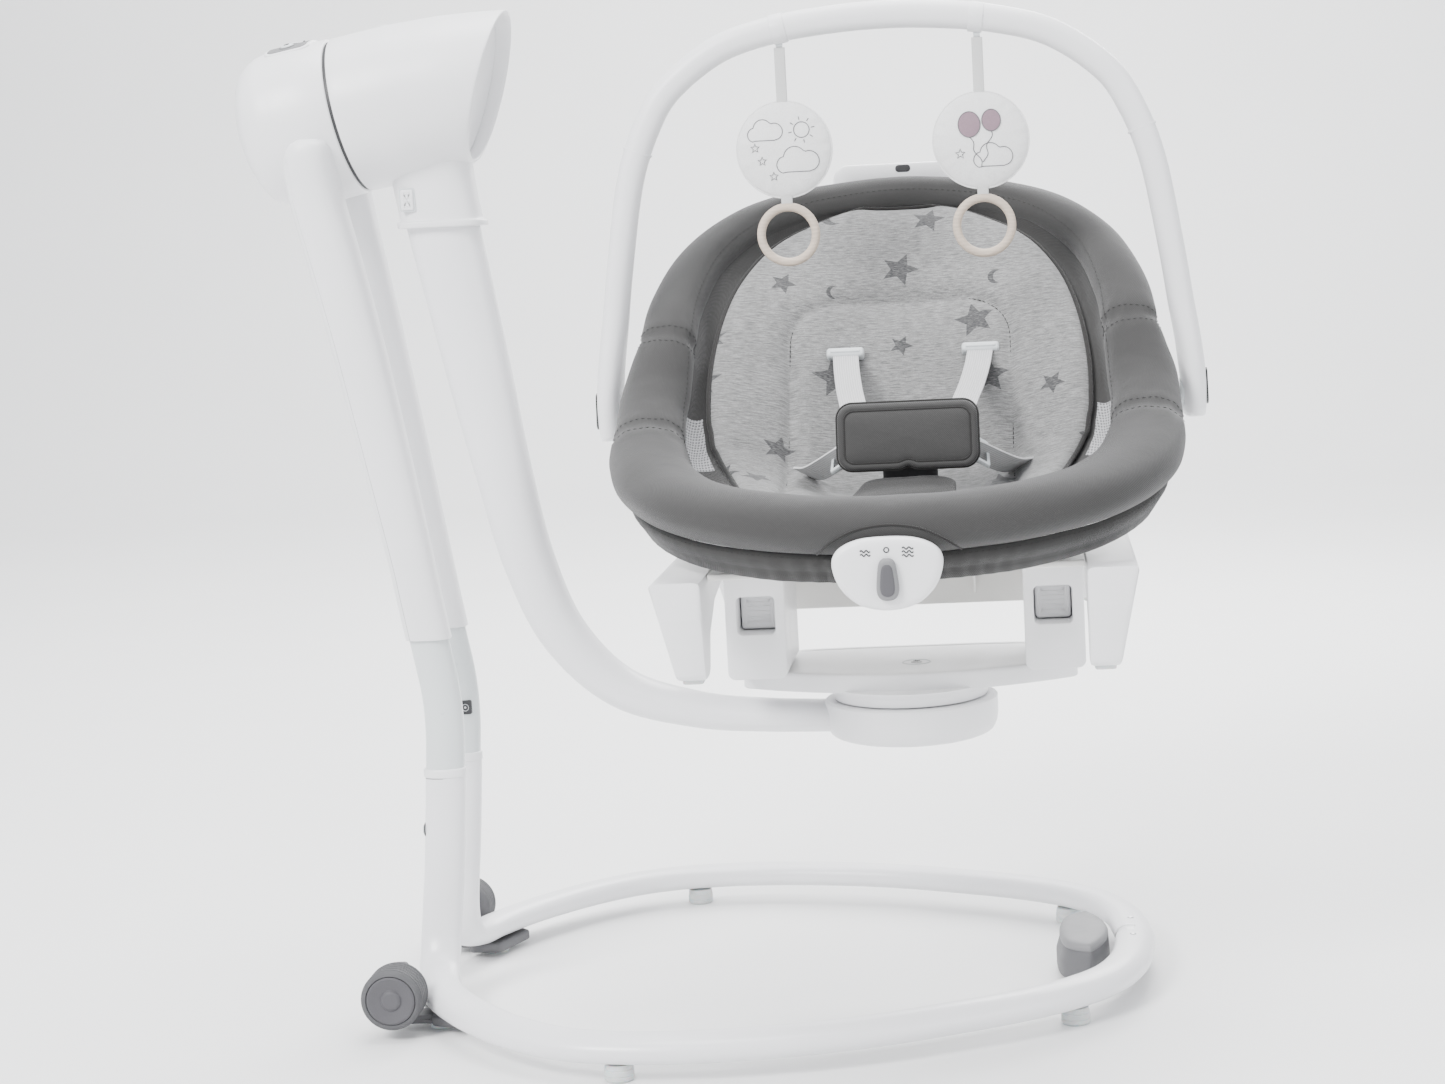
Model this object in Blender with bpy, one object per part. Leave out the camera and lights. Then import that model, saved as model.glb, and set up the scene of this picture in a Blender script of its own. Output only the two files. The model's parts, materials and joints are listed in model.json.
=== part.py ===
"""Baby swing: a tubular floor stand with a motor head, a bent swing arm with a turntable,
and a padded rocker seat that clips onto it, with a toy bar, harness and vibration unit.

Frame: millimetres in the design functions, metres in Blender.  +Z up, floor at z = 0,
the stand's legs at -X, the swing arm's plane at y = 0, the seat faces -Y.
"""
import math

import bmesh
import bpy
from mathutils import Vector

# ---------------------------------------------------------------- driving dimensions (mm)
TUBE_W, TUBE_H = 37.0, 24.0          # oval base tube, across and through
LOOP_Z = 27.0                        # centre height of the floor loop
LEG_X, LEG_Y, LEG_TOP_Z = -275.0, 35.0, 209.0
FOOT_R, FOOT_H = 12.5, 14.4
WHEEL = dict(x=-307.0, z=38.0, r=27.0, y0=131.0, y1=164.0)

HEAD_C = Vector((-327.0, 0.0, 809.0))  # centre of the split between fixed and swinging head
HEAD_TILT = math.radians(10.5)       # the swing axis rises towards the seat
HEAD_R = 69.5
HEAD_LEFT = 98.0                    # length of the fixed drum
SHAFT_R = 9.0
RIM_TOP, RIM_BOTTOM = (160.0, 56.8), (98.6, -66.0)   # (along, up) of the slanted open rim

SEAT_X = 152.0                       # seat and turntable centre
HUB_R, HUB_BOTTOM, HUB_TOP = 79.0, 225.0, 262.0
PLATE_TOP, PLATE_BOTTOM, PLATE_HALF = 292.0, 275.0, 153.0
PIVOT_Y, PIVOT_Z = 50.0, 524.0       # recline and toy-bar axis
TOY_X = {"left": -95.0, "right": 84.0}   # where the toys hang, from the seat's middle
TOY_Z = 856.0
GAP = 0.4

AX = Vector((math.cos(HEAD_TILT), 0.0, math.sin(HEAD_TILT)))
UP = Vector((-math.sin(HEAD_TILT), 0.0, math.cos(HEAD_TILT)))
Y = Vector((0.0, 1.0, 0.0))
MM = 0.001


ORIGIN = Vector((2.92, 0.0, 0.0))     # middle of the whole product in the design frame


# ---------------------------------------------------------------- helpers
def clear_scene():
    for ob in list(bpy.data.objects):
        bpy.data.objects.remove(ob, do_unlink=True)


def material(name, rgb, rough, metal=0.0):
    mat = bpy.data.materials.new(name)
    mat.use_nodes = True
    bsdf = mat.node_tree.nodes["Principled BSDF"]
    bsdf.inputs["Base Color"].default_value = (*rgb, 1.0)
    bsdf.inputs["Roughness"].default_value = rough
    bsdf.inputs["Metallic"].default_value = metal
    mat.diffuse_color = (*rgb, 1.0)
    return mat


WHITE = ((0.90, 0.90, 0.91), 0.38)
PALE = ((0.70, 0.73, 0.74), 0.45)
GREY = ((0.17, 0.17, 0.18), 0.5)
STEEL = ((0.55, 0.55, 0.56), 0.3, 1.0)
CHARCOAL = ((0.16, 0.15, 0.145), 0.9)
MELANGE = ((0.52, 0.52, 0.53), 0.9)
WEB = ((0.60, 0.60, 0.61), 0.85)


def finish(bm, name, look, parent=None, smooth=38):
    """Turn a bmesh in world millimetres into a named object under a joint's empty."""
    bmesh.ops.remove_doubles(bm, verts=bm.verts, dist=1e-3)
    bmesh.ops.recalc_face_normals(bm, faces=bm.faces)
    for v in bm.verts:
        v.co = (v.co - ORIGIN) * MM
    mesh = bpy.data.meshes.new(name)
    bm.to_mesh(mesh)
    bm.free()
    mesh.shade_smooth()
    mesh.set_sharp_from_angle(angle=math.radians(smooth))
    ob = bpy.data.objects.new(name, mesh)
    bpy.context.scene.collection.objects.link(ob)
    if look is not None:
        mesh.materials.append(material(name + "_mat", *look))
    if parent is not None:
        ob.parent = parent
        ob.location = -world_of(parent)
    return ob


def world_of(empty):
    p = Vector(empty.location)
    while empty.parent:
        empty = empty.parent
        p += empty.location
    return p


def joint_empty(name, pos, parent=None):
    """An empty on a joint's axis, in world millimetres, that carries the pieces that move."""
    e = bpy.data.objects.new(name, None)
    e.empty_display_size = 0.03
    bpy.context.scene.collection.objects.link(e)
    e.location = (Vector(pos) - ORIGIN) * MM
    if parent is not None:
        e.parent = parent
        e.location -= world_of(parent)
    return e


def add_boolean(ob, other, how):
    other.hide_render = True
    other.display_type = "WIRE"
    mod = ob.modifiers.new(how.lower(), "BOOLEAN")
    mod.operation = how
    mod.object = other
    mod.solver = "EXACT"


def cut(ob, *cutters):
    for c in cutters:
        add_boolean(ob, c, "DIFFERENCE")


def join(ob, *others):
    for o in others:
        add_boolean(ob, o, "UNION")


def oval(a, b, n=14, power=2.0):
    """Points of a superellipse with half axes a and b."""
    pts = []
    for i in range(n):
        t = 2 * math.pi * (i + 0.5) / n
        c, s = math.cos(t), math.sin(t)
        pts.append((a * math.copysign(abs(c) ** (2 / power), c),
                    b * math.copysign(abs(s) ** (2 / power), s)))
    return pts


def spline(points, per=3):
    """Catmull-Rom curve through rows of numbers, with `per` steps between two rows."""
    rows = [Vector(p) for p in points]
    ext = [rows[0] * 2 - rows[1]] + rows + [rows[-1] * 2 - rows[-2]]
    out = []
    for i in range(1, len(ext) - 2):
        p0, p1, p2, p3 = ext[i - 1:i + 3]
        for k in range(per):
            t = k / per
            out.append(0.5 * (2 * p1 + (p2 - p0) * t + (2 * p0 - 5 * p1 + 4 * p2 - p3) * t * t
                              + (3 * p1 - p0 - 3 * p2 + p3) * t ** 3))
    out.append(rows[-1].copy())
    return out


def loft(rings, closed=False):
    """Skin between rings that have equal numbers of points; flat caps unless closed."""
    bm = bmesh.new()
    vs = [[bm.verts.new(p) for p in ring] for ring in rings]
    n = len(vs[0])
    pairs = list(zip(vs, vs[1:])) + ([(vs[-1], vs[0])] if closed else [])
    for a, b in pairs:
        for i in range(n):
            j = (i + 1) % n
            bm.faces.new((a[i], a[j], b[j], b[i]))
    if not closed:
        bm.faces.new(list(reversed(vs[0])))
        bm.faces.new(vs[-1])
    return bm


def sweep(path, wide, sections):
    """Loft sections (lists of (across, through)) along a path.

    `wide` is the first section's across direction; it is carried along the path without
    twist.
    """
    path = [Vector(p) for p in path]
    rings, w = [], Vector(wide).normalized()
    for i, p in enumerate(path):
        a = path[max(i - 1, 0)]
        b = path[min(i + 1, len(path) - 1)]
        t = (b - a).normalized()
        w = (w - t * w.dot(t)).normalized()
        v = t.cross(w)
        sec = sections[i] if isinstance(sections[0], list) else sections
        rings.append([p + w * q[0] + v * q[1] for q in sec])
    return loft(rings)


def lathe(profile, origin, axis, n=32, ring=False):
    """Turn (along, radius) points about an axis.  ring=True closes the profile on itself."""
    axis = Vector(axis).normalized()
    side = Vector((0, 1, 0)) if abs(axis.y) < 0.9 else Vector((1, 0, 0))
    side = (side - axis * side.dot(axis)).normalized()
    up = axis.cross(side)
    bm = bmesh.new()
    rows = []
    for a, r in profile:
        base = Vector(origin) + axis * a
        if r < 1e-6:
            rows.append([bm.verts.new(base)])
        else:
            rows.append([bm.verts.new(base + (side * math.cos(2 * math.pi * i / n)
                                              + up * math.sin(2 * math.pi * i / n)) * r)
                         for i in range(n)])
    pairs = list(zip(rows, rows[1:])) + ([(rows[-1], rows[0])] if ring else [])
    for a, b in pairs:
        for i in range(n):
            j = (i + 1) % n
            quad = [a[i % len(a)], a[j % len(a)], b[j % len(b)], b[i % len(b)]]
            quad = list(dict.fromkeys(quad))
            if len(a) + len(b) > 2:
                bm.faces.new(quad)
    return bm


def cylinder(origin, axis, a0, a1, r, n=20):
    return lathe([(a0, 0), (a0, r), (a1, r), (a1, 0)], origin, axis, n)


def prism(points, to_world, lo, hi, bevel=0.0, segments=2):
    """Extrude a 2-D outline from lo to hi; to_world(u, v, w) gives the world point."""
    bm = loft([[to_world(u, v, lo) for u, v in points], [to_world(u, v, hi) for u, v in points]])
    if bevel:
        bmesh.ops.recalc_face_normals(bm, faces=bm.faces)
        edges = [e for e in bm.edges if e.calc_face_angle(0) > 0.5]
        bmesh.ops.bevel(bm, geom=edges, offset=bevel, segments=segments, affect="EDGES",
                        profile=0.5, clamp_overlap=True)
    return bm


def box(x, y, z, bevel=0.0, segments=2):
    pts = [(x[0], y[0]), (x[1], y[0]), (x[1], y[1]), (x[0], y[1])]
    return prism(pts, lambda u, v, w: Vector((u, v, w)), z[0], z[1], bevel, segments)


def rounded(w, h, r, n=4):
    """Rounded rectangle outline with half sizes w and h."""
    pts = []
    for cx, cy, a0 in ((w - r, h - r, 0), (r - w, h - r, 90), (r - w, r - h, 180),
                       (w - r, r - h, 270)):
        for k in range(n + 1):
            a = math.radians(a0 + 90 * k / n)
            pts.append((cx + r * math.cos(a), cy + r * math.sin(a)))
    return pts


def head_point(along, up, y=0.0):
    return HEAD_C + AX * along + UP * up + Y * y


clear_scene()

# ---------------------------------------------------------------- joint empties
SWING = joint_empty("swing_axis", HEAD_C)
TURN = joint_empty("turn_axis", (SEAT_X, 0, HUB_TOP), SWING)
SEAT = joint_empty("seat_lift_axis", (SEAT_X, 0, PLATE_TOP), TURN)
RECLINE = joint_empty("recline_axis", (SEAT_X, PIVOT_Y, PIVOT_Z), SEAT)
TOYBAR = joint_empty("toy_bar_axis", (SEAT_X, PIVOT_Y, PIVOT_Z), SEAT)

# ---------------------------------------------------------------- stand: floor loop and legs
LEG_PATH = [(LEG_X, LEG_Y, LEG_TOP_Z), (-278, 35, 165), (-282, 35, 120), (-286, 36, 84),
            (-288, 42, 56), (-287, 58, 36), (-281, 84, 28)]
LOOP_PATH = [(-271, 112, LOOP_Z), (-254, 143, LOOP_Z), (-228, 180, LOOP_Z),
             (-191, 221, LOOP_Z), (-144, 256, LOOP_Z), (-90, 273, LOOP_Z),
             (-21, 276, LOOP_Z), (58, 265, LOOP_Z), (125, 246, LOOP_Z),
             (190, 218, LOOP_Z), (245, 190, LOOP_Z), (287, 160, LOOP_Z),
             (320, 122, LOOP_Z), (340, 70, LOOP_Z), (347.5, 0.3, LOOP_Z)]


def mirrored(points, s):
    return [(x, s * y, z) for x, y, z in points]


for side, s in (("front", -1), ("rear", 1)):
    path = spline(mirrored(LEG_PATH + LOOP_PATH, s), 1)
    path[1:1] = [Vector((LEG_X, s * LEG_Y, LEG_TOP_Z - 5))]
    path[-1:] = [Vector((347.5, s * 9, LOOP_Z)), Vector((347.5, s * 0.3, LOOP_Z))]
    tube = finish(sweep(path, (1, 0, 0), oval(TUBE_W / 2, TUBE_H / 2, 10)),
                  f"base_{side}_tube", WHITE)
    hole = finish(cylinder((LEG_X - 3, s * LEG_Y, 160), (-1, 0, 0), -1, 30, 5.4, 14),
                  f"button_hole_{side}", None)
    cut(tube, hole)
    # sprung snap button that locks the leg joint
    e = joint_empty(f"leg_button_{side}_axis", (LEG_X - 20, s * LEG_Y, 160))
    finish(lathe([(3.5, 0), (3.5, 5), (17, 5), (19.6, 3.6), (20.6, 0)],
                 (LEG_X - 3, s * LEG_Y, 160), (-1, 0, 0), 14), f"leg_button_{side}", PALE, e)

    # feet pressed into the underside of the loop
    for tag, (x, y) in (("left", (-90, 273)), ("right", (289, 158))):
        finish(lathe([(0, 0), (0, FOOT_R - 1), (1.5, FOOT_R), (FOOT_H, FOOT_R - 1),
                      (FOOT_H, 0)], (x, s * y, 0), (0, 0, 1), 12), f"foot_{side}_{tag}", PALE)

    # housing that holds the transport wheel and the corner foot
    arm = [(-262, 6), (-262, 13), (-266, 14.2), (-299, 14.2), (-300, 52), (-304, 58),
           (-314, 58), (-322, 52), (-325, 40), (-323, 24), (-314, 10), (-304, 6)]
    y0, y1 = sorted((s * 106, s * (WHEEL["y0"] - 1)))
    house = finish(prism(arm, lambda u, v, w: Vector((u, w, v)), y0, y1, 1.5, 1),
                   f"wheel_housing_{side}", GREY)
    pad_pts = [(-296, 92), (-262, 90), (-243, 138), (-250, 146), (-278, 134)]
    pad = finish(prism(pad_pts, lambda u, v, w: Vector((u, s * v, w)), 5.0, 14.0, 2.0, 1),
                 f"housing_pad_{side}", None)
    axle = finish(cylinder((WHEEL["x"], 0, WHEEL["z"]), (0, s, 0), 112, WHEEL["y1"] - 8, 5.0, 14),
                  f"housing_axle_{side}", None)
    stub = finish(cylinder((-272, s * 116, 0), (0, 0, 1), 0, 8, FOOT_R, 18),
                  f"housing_foot_{side}", None)
    join(house, pad, axle, stub)

    # transport wheel, free on its axle
    e = joint_empty(f"wheel_{side}_axis", (WHEEL["x"], s * WHEEL["y0"], WHEEL["z"]))
    w0, w1, wr = WHEEL["y0"], WHEEL["y1"], WHEEL["r"]
    finish(lathe([(w0, 5.4), (w0, wr - 2), (w0 + 2, wr), (w1 - 3, wr), (w1, wr - 3),
                  (w1, 0), (w1 - 7.5, 0), (w1 - 7.5, 5.4)],
                 (WHEEL["x"], 0, WHEEL["z"]), (0, s, 0), 20, ring=True), f"wheel_{side}", GREY, e)

# grey stop block inside the tip of the loop
tip = [(278, -36), (274, 0), (278, 36), (290, 52), (303, 58)]
tip += [(324 - 17 * (y / 56) ** 2 + 0.4, y) for y in (56, 38, 19, 0, -19, -38, -56)]
tip += [(303, -58), (290, -52)]
finish(prism(tip, lambda u, v, w: Vector((u if w < 20 else 0.93 * (u - 324) + 324, v, w)),
             3.0, 39.0, 3.0, 2), "base_tip_block", GREY)

# ---------------------------------------------------------------- stand: uprights and covers
TUBE_CENTRE = [(211.2, -275, 35), (250, -272.5, 35), (285, -273.5, 35), (325, -279.5, 35),
               (370, -287, 35), (411, -293, 35), (500, -308, 36), (600, -325, 39),
               (680, -340, 44), (710, -345.5, 47)]
# z, x, y, half width, half depth of each leg cover
COVER = [(337, -281.5, 35, 20.6, 14.6), (375, -287.5, 35, 20.6, 14.8),
         (411, -293, 35, 20.8, 15.2), (500, -308, 36, 22.5, 17), (600, -325, 39, 23.5, 19),
         (680, -340, 44, 24, 21), (735, -350, 50, 23.5, 24), (765, -352, 57, 22, 24),
         (781, -350, 61, 18, 20), (787, -349, 62, 11, 13)]

for side, s in (("front", -1), ("rear", 1)):
    path = spline([(x, s * y, z) for z, x, y in TUBE_CENTRE], 1)
    upright = finish(sweep(path, (1, 0, 0), oval(17.7, 11.6, 14)), f"upright_tube_{side}", PALE)
    collar = finish(loft([[Vector((LEG_X + u * k, s * LEG_Y + v * k, z)) for u, v in
                           oval(19.6, 13.2, 14)] for z, k in
                          ((LEG_TOP_Z + 0.4, 1.0), (LEG_TOP_Z + 7, 1.0), (LEG_TOP_Z + 8, 0.93))]),
                    f"upright_collar_{side}", None)
    join(upright, collar)

    outer = [[Vector((x + u, s * y + v, z)) for u, v in oval(a, b, 14, 2.6)]
             for z, x, y, a, b in COVER]
    cover = finish(loft(outer), f"upright_cover_{side}", WHITE)
    inner = [[Vector((x + u, s * y + v, z)) for u, v in oval(a - 2.2, b - 2.2, 14, 2.4)]
             for z, x, y, a, b in [(330, -280.4, 35, 20.6, 14.6)] + COVER[:6]
             + [(716, -346.5, 47.7, 23.6, 22)]]
    core = finish(loft(inner), f"cover_core_{side}", None)
    cut(cover, core)
    drum = finish(cylinder(HEAD_C, AX, -120, 20, 72.3, 24), f"cover_drum_cut_{side}", None)
    cut(cover, drum)

# power inlet in the rear upright
pocket = finish(box((-271, -260), (18, 31), (254.5, 267.5)), "inlet_pocket", None)
cut(bpy.data.objects["upright_tube_rear"], pocket)
inlet = finish(box((-270.6, -260.4), (22.6, 30.6), (254.9, 267.1), 0.8, 1), "dc_inlet", GREY)
cut(inlet, finish(cylinder((-265.5, 15, 261), (0, 1, 0), 0, 12, 2.8, 12), "inlet_socket", None))

# ---------------------------------------------------------------- head: fixed drum and drive
L = HEAD_LEFT
housing = finish(lathe([(-L, 0), (-L + 0.8, 16), (-L + 5, 39), (-L + 14, 58), (-L + 29, 68),
                        (-L + 48, 71), (-30, 71), (-0.8, HEAD_R), (-0.8, SHAFT_R + 0.5),
                        (-5, SHAFT_R + 0.5), (-5, 66), (-30, 67.5), (-L + 48, 67.5),
                        (-L + 31, 64.5), (-L + 17.5, 55), (-L + 9, 37.5), (-L + 4.6, 15),
                        (-L + 4, 0)], HEAD_C, AX, 24), "motor_housing", WHITE)


def arc_wedge(r0, r1, half_deg, a0, a1, n=8):
    """Part of a tube wall about the head axis, centred on its top."""
    ang = [math.radians(-half_deg + 2 * half_deg * k / n) for k in range(n + 1)]
    pts = [(r1 * math.sin(t), r1 * math.cos(t)) for t in ang]
    pts += [(r0 * math.sin(t), r0 * math.cos(t)) for t in reversed(ang)]
    return prism(pts, lambda u, v, w: head_point(w, v, u), a0, a1)


cut(housing, finish(arc_wedge(55, 80, 27.0, -57, -14), "panel_opening", None))
panel = finish(arc_wedge(67.8, 72.6, 26.6, -56.6, -14.4), "control_panel", GREY)
for name, deg in (("power", -15), ("sound", 0), ("timer", 15)):
    t = math.radians(deg)
    out = UP * math.cos(t) + Y * math.sin(t)
    foot = HEAD_C + AX * -36
    cut(panel, finish(cylinder(foot, out, 60, 80, 6.4, 14), f"hole_{name}", None))
    e = joint_empty(f"button_{name}_axis", foot + out * 72)
    finish(lathe([(66.5, 0), (66.5, 6), (73.2, 6), (74.2, 4.8), (74.4, 0)], foot, out, 14),
           f"button_{name}", PALE, e)

finish(lathe([(-52, 0), (-52, 14), (-24, 14), (-22, 12), (-20, 5), (-12, 5), (-12, 0)],
             head_point(-12, -37), AX, 18), "drive_motor", STEEL)

# ---------------------------------------------------------------- head: swinging half
finish(lathe([(-46, 0), (-46, SHAFT_R), (-14, SHAFT_R), (-14, 15), (-6, 15), (-6, SHAFT_R),
              (12, SHAFT_R), (12, 15), (18, 15), (18, SHAFT_R), (44, SHAFT_R), (44, 0)],
             HEAD_C, AX, 14), "swing_shaft", STEEL, SWING)

OUT = [(0.8, 69.2), (50, 69.4), (98, 66.5), (130, 62.5), (176, 55)]
INN = [(176, 51.8), (130, 59.3), (98, 63.3), (50, 66.2), (5.5, 66)]
shell = finish(lathe([(0.8, SHAFT_R + 0.5)] + OUT + INN + [(5.5, SHAFT_R + 0.5)],
                     HEAD_C, AX, 24, ring=True), "swing_hub_shell", WHITE, SWING)
SLANT = Vector((RIM_TOP[0] - RIM_BOTTOM[0], RIM_TOP[1] - RIM_BOTTOM[1])).normalized()
FACE = Vector((SLANT.y, -SLANT.x))   # outward normal of the slanted rim, in (along, up)


def slant_block(near, far):
    """A slab parallel to the rim plane, between two distances outward from it."""
    mid = (Vector(RIM_TOP) + Vector(RIM_BOTTOM)) / 2
    pts = []
    for d, s in ((near, -130), (far, -130), (far, 130), (near, 130)):
        p = mid + FACE * d + SLANT * s
        pts.append((p.x, p.y))
    return prism(pts, lambda u, v, w: head_point(u, v, w), -130, 130)


socket_outer = [[Vector((-253 + 1.2 * k + u, v, z)) for u, v in oval(a, b, 20, 2.8)]
                for z, a, b, k in ((706, 39.3, 30, 2), (711, 39.3, 30, 2), (712.5, 36.4, 27.4, 2),
                                   (768, 36.4, 27.4, -4))]
socket = finish(loft(socket_outer), "socket_outer", None, SWING)
cut(socket, finish(lathe([(0, 0)] + [(a, r - 1.5) for a, r in OUT] + [(176, 0)], HEAD_C, AX, 24),
                   "shell_inside", None, SWING))
socket_bore = [[Vector((x + u, v, z)) for u, v in oval(33.4, 23.9, 20, 2.4)]
               for z, x in ((700, -249.1), (758.5, -257.7))]
bore = finish(loft(socket_bore), "socket_bore", None, SWING)
join(shell, socket)
cut(shell, bore, finish(slant_block(0, 90), "rim_cut", None, SWING))

cap_profile = [(20, 0), (20, 50)] + [(a, r - 0.5) for a, r in reversed(INN[:-1])] + [(176, 0)]
cap = finish(lathe(cap_profile, HEAD_C, AX, 24), "hub_end_cap", WHITE, SWING)
cut(cap, finish(slant_block(-13, 90), "cap_cut_outer", None, SWING),
    finish(slant_block(-250, -16.5), "cap_cut_inner", None, SWING))

# ---------------------------------------------------------------- swing arm and turntable base
# x, z, half width, half depth along the bent arm
ARM = [(-256.7, 752, 32.4, 23), (-250, 706, 32.4, 23), (-238, 640, 31, 23),
       (-225, 566, 29, 23), (-209, 478, 25.5, 23), (-192, 400, 23.5, 23.5),
       (-164, 331, 21.5, 24), (-114, 279, 18.5, 25), (-45, 256, 16, 26), (20, 248.5, 14.5, 28),
       (90, 245.5, 13.5, 30)]
rows = spline([(x, z, 0) for x, z, a, b in ARM], 2)
sizes = spline([(a, b, 0) for x, z, a, b in ARM], 2)
arm = finish(sweep([(p.x, 0, p.y) for p in rows], (1, 0, 0),
                   [oval(q.x, q.y, 14, 2.3) for q in sizes]), "swing_arm_tube", WHITE, SWING)
cut(arm, finish(cylinder((SEAT_X, 0, 0), (0, 0, 1), 180, 320, HUB_R + GAP, 48),
                "arm_end_cut", None, SWING))

# release button in the front of the socket
window = finish(box((-281, -269), (-40, -17), (721.5, 740.5)), "button_window", None, SWING)
cut(shell, window)
cut(arm, window)
e = joint_empty("arm_button_axis", (-275, -24, 731), SWING)
finish(box((-280.6, -269.4), (-28.6, -22.5), (721.9, 740.1), 1.0, 1), "arm_release_button",
       WHITE, e)

hub_z = Vector((SEAT_X, 0, 0))
finish(lathe([(HUB_BOTTOM, 0), (HUB_BOTTOM + 0.5, 62), (HUB_BOTTOM + 4, 71),
              (HUB_BOTTOM + 11, 77), (HUB_BOTTOM + 20, HUB_R), (HUB_TOP, HUB_R), (HUB_TOP, 15),
              (240, 15), (240, 0)], hub_z, (0, 0, 1), 30), "turntable_base", WHITE, SWING)

# ---------------------------------------------------------------- turntable plate
front = [(x, -58 + 50 * (x / 150) ** 2) for x in (-150, -110, -60, 0, 60, 110, 150)]
plate_pts = front + [(PLATE_HALF, 0), (146, 14), (120, 84), (104, 96), (60, 99), (-60, 99),
                     (-104, 96), (-120, 84), (-146, 14), (-PLATE_HALF, 0)]
plate = finish(prism(plate_pts, lambda u, v, w: Vector((SEAT_X + u, v, w)), PLATE_BOTTOM,
                     PLATE_TOP, 3.0, 1), "turntable_plate", WHITE, TURN)
boss = finish(lathe([(243, 0), (243, 14.5), (HUB_TOP + 0.8, 14.5), (HUB_TOP + 0.8, 70),
                     (PLATE_BOTTOM + 3, 74), (PLATE_BOTTOM + 3, 0)], hub_z, (0, 0, 1), 24),
              "plate_boss", None, TURN)
join(plate, boss)

# ---------------------------------------------------------------- seat: rockers and chassis
RUNNER = [(-219, 404), (-216, 372), (-203, 322), (-198, 318), (-177, 318), (-170, 324),
          (-160, 350), (-120, 372), (-60, 381), (0, 383), (60, 381), (120, 372), (160, 350),
          (170, 324), (177, 318), (198, 318), (203, 322), (216, 372), (219, 404)]
for side, s in (("left", -1), ("right", 1)):
    finish(prism(RUNNER, lambda u, v, w: Vector((SEAT_X + s * (160 + w * (26 + (v - 318) * 0.2)),
                                                 u, v)), 0.0, 1.0, 3.5, 1),
           f"rocker_{side}", WHITE, SEAT)

    x0, x1 = sorted((SEAT_X + s * 106, SEAT_X + s * 159.4))
    bracket = finish(box((x0, x1), (-62, 62), (PLATE_TOP + GAP, 397.5), 3, 2),
                     f"latch_bracket_{side}", WHITE, SEAT)
    w0, w1 = sorted((SEAT_X + s * 115, SEAT_X + s * 149))
    cut(bracket, finish(box((w0, w1), (-80, -20), (333, 367), 2, 1), f"window_{side}", None, SEAT))
    e = joint_empty(f"latch_{side}_axis", (SEAT_X + s * 132, -32, 350), SEAT)
    finish(box((w0 + 1, w1 - 1), (-34, -30), (334, 366), 1, 1), f"latch_lever_{side}", PALE, e)

x0, x1 = SEAT_X - 159.4, SEAT_X + 159.4
finish(prism([(-170, 398), (-170, 404), (104, 404), (104, 330), (97, 330), (97, 398)],
             lambda u, v, w: Vector((w, u, v)), x0, x1, 1.0, 1), "seat_chassis",
       ((0.75, 0.72, 0.66), 0.5), SEAT)

# ---------------------------------------------------------------- seat: rim, tubes, cushions
# x from the middle, y, z, half width and half thickness of the padded rim, side to front
FRONT_RIM = [(212, 44, 576, 28, 22), (220, 20, 546, 33, 24), (222, -14, 519, 33, 25),
             (218, -66, 492, 36, 26), (201, -122, 474, 38, 26), (164, -176, 461, 38, 25),
             (108, -215, 453, 37, 25), (52, -232, 449, 36, 25), (0, -236, 448, 36, 25)]
BACK_RIM = [(214, 60, 596, 27, 22), (208, 94, 620, 27, 22), (187, 148, 660, 25, 22),
            (150, 192, 689, 24, 21), (104, 216, 705, 24, 20), (52, 229, 713, 24, 19),
            (0, 232, 716, 24, 19)]


def rim(rows, name):
    full = rows + [(-x, y, z, a, b) for x, y, z, a, b in reversed(rows[:-1])]
    pts = spline([(SEAT_X + x, y, z) for x, y, z, a, b in full], 2)
    sizes = spline([(a, b, 0) for x, y, z, a, b in full], 2)
    rings = []
    for i, p in enumerate(pts):
        t = (pts[min(i + 1, len(pts) - 1)] - pts[max(i - 1, 0)]).normalized()
        away = Vector((p.x - SEAT_X, p.y + 10, 0))
        flat = (away - t * away.dot(t)).normalized()
        thick = t.cross(flat)
        rings.append([p + flat * u + thick * v for u, v in oval(sizes[i].x, sizes[i].y, 10)])
    return finish(loft(rings), name, CHARCOAL, SEAT if rows is FRONT_RIM else RECLINE)


rim(FRONT_RIM, "rim_pad_front")
rim(BACK_RIM, "rim_pad_back")

half = [(227, PIVOT_Y, PIVOT_Z), (228, 20, 500), (228, -14, 476), (222, -66, 450),
        (203, -122, 434), (164, -176, 422), (108, -215, 414), (52, -232, 411), (0, -236, 410)]
front_tube = half + [(-x, y, z) for x, y, z in reversed(half[:-1])]
finish(sweep([(SEAT_X + x, y, z) for x, y, z in front_tube], (1, 0, 0), oval(7.5, 7.5, 8)),
       "seat_front_tube", STEEL, SEAT)

half = [(205, PIVOT_Y, PIVOT_Z), (207, 66, 547), (204, 94, 574), (196, 124, 602),
        (176, 164, 630), (142, 206, 656), (100, 232, 672), (52, 245, 680), (0, 249, 683)]
back = half + [(-x, y, z) for x, y, z in reversed(half[:-1])]
finish(sweep([(SEAT_X + x, y, z) for x, y, z in back], (1, 0, 0), oval(7.5, 7.5, 8)),
       "back_tube", STEEL, RECLINE)

handle = rounded(64, 34, 14, 3)
finish(prism(handle, lambda u, v, w: Vector((SEAT_X - 3 + u, w, 714 + v)), 262, 280, 3, 1),
       "back_handle", WHITE, RECLINE)

# lengthwise line of the seating surface: y, z, half width
BASE_LINE = [(-176, 458, 92), (-142, 448, 130), (-100, 440, 152), (-60, 437, 164),
             (-15, 441, 170), (20, 458, 172), (42, 482, 172)]
BACK_LINE = [(56, 502, 174), (84, 540, 172), (114, 582, 166), (142, 620, 154),
             (168, 653, 130), (190, 680, 92)]


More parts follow.
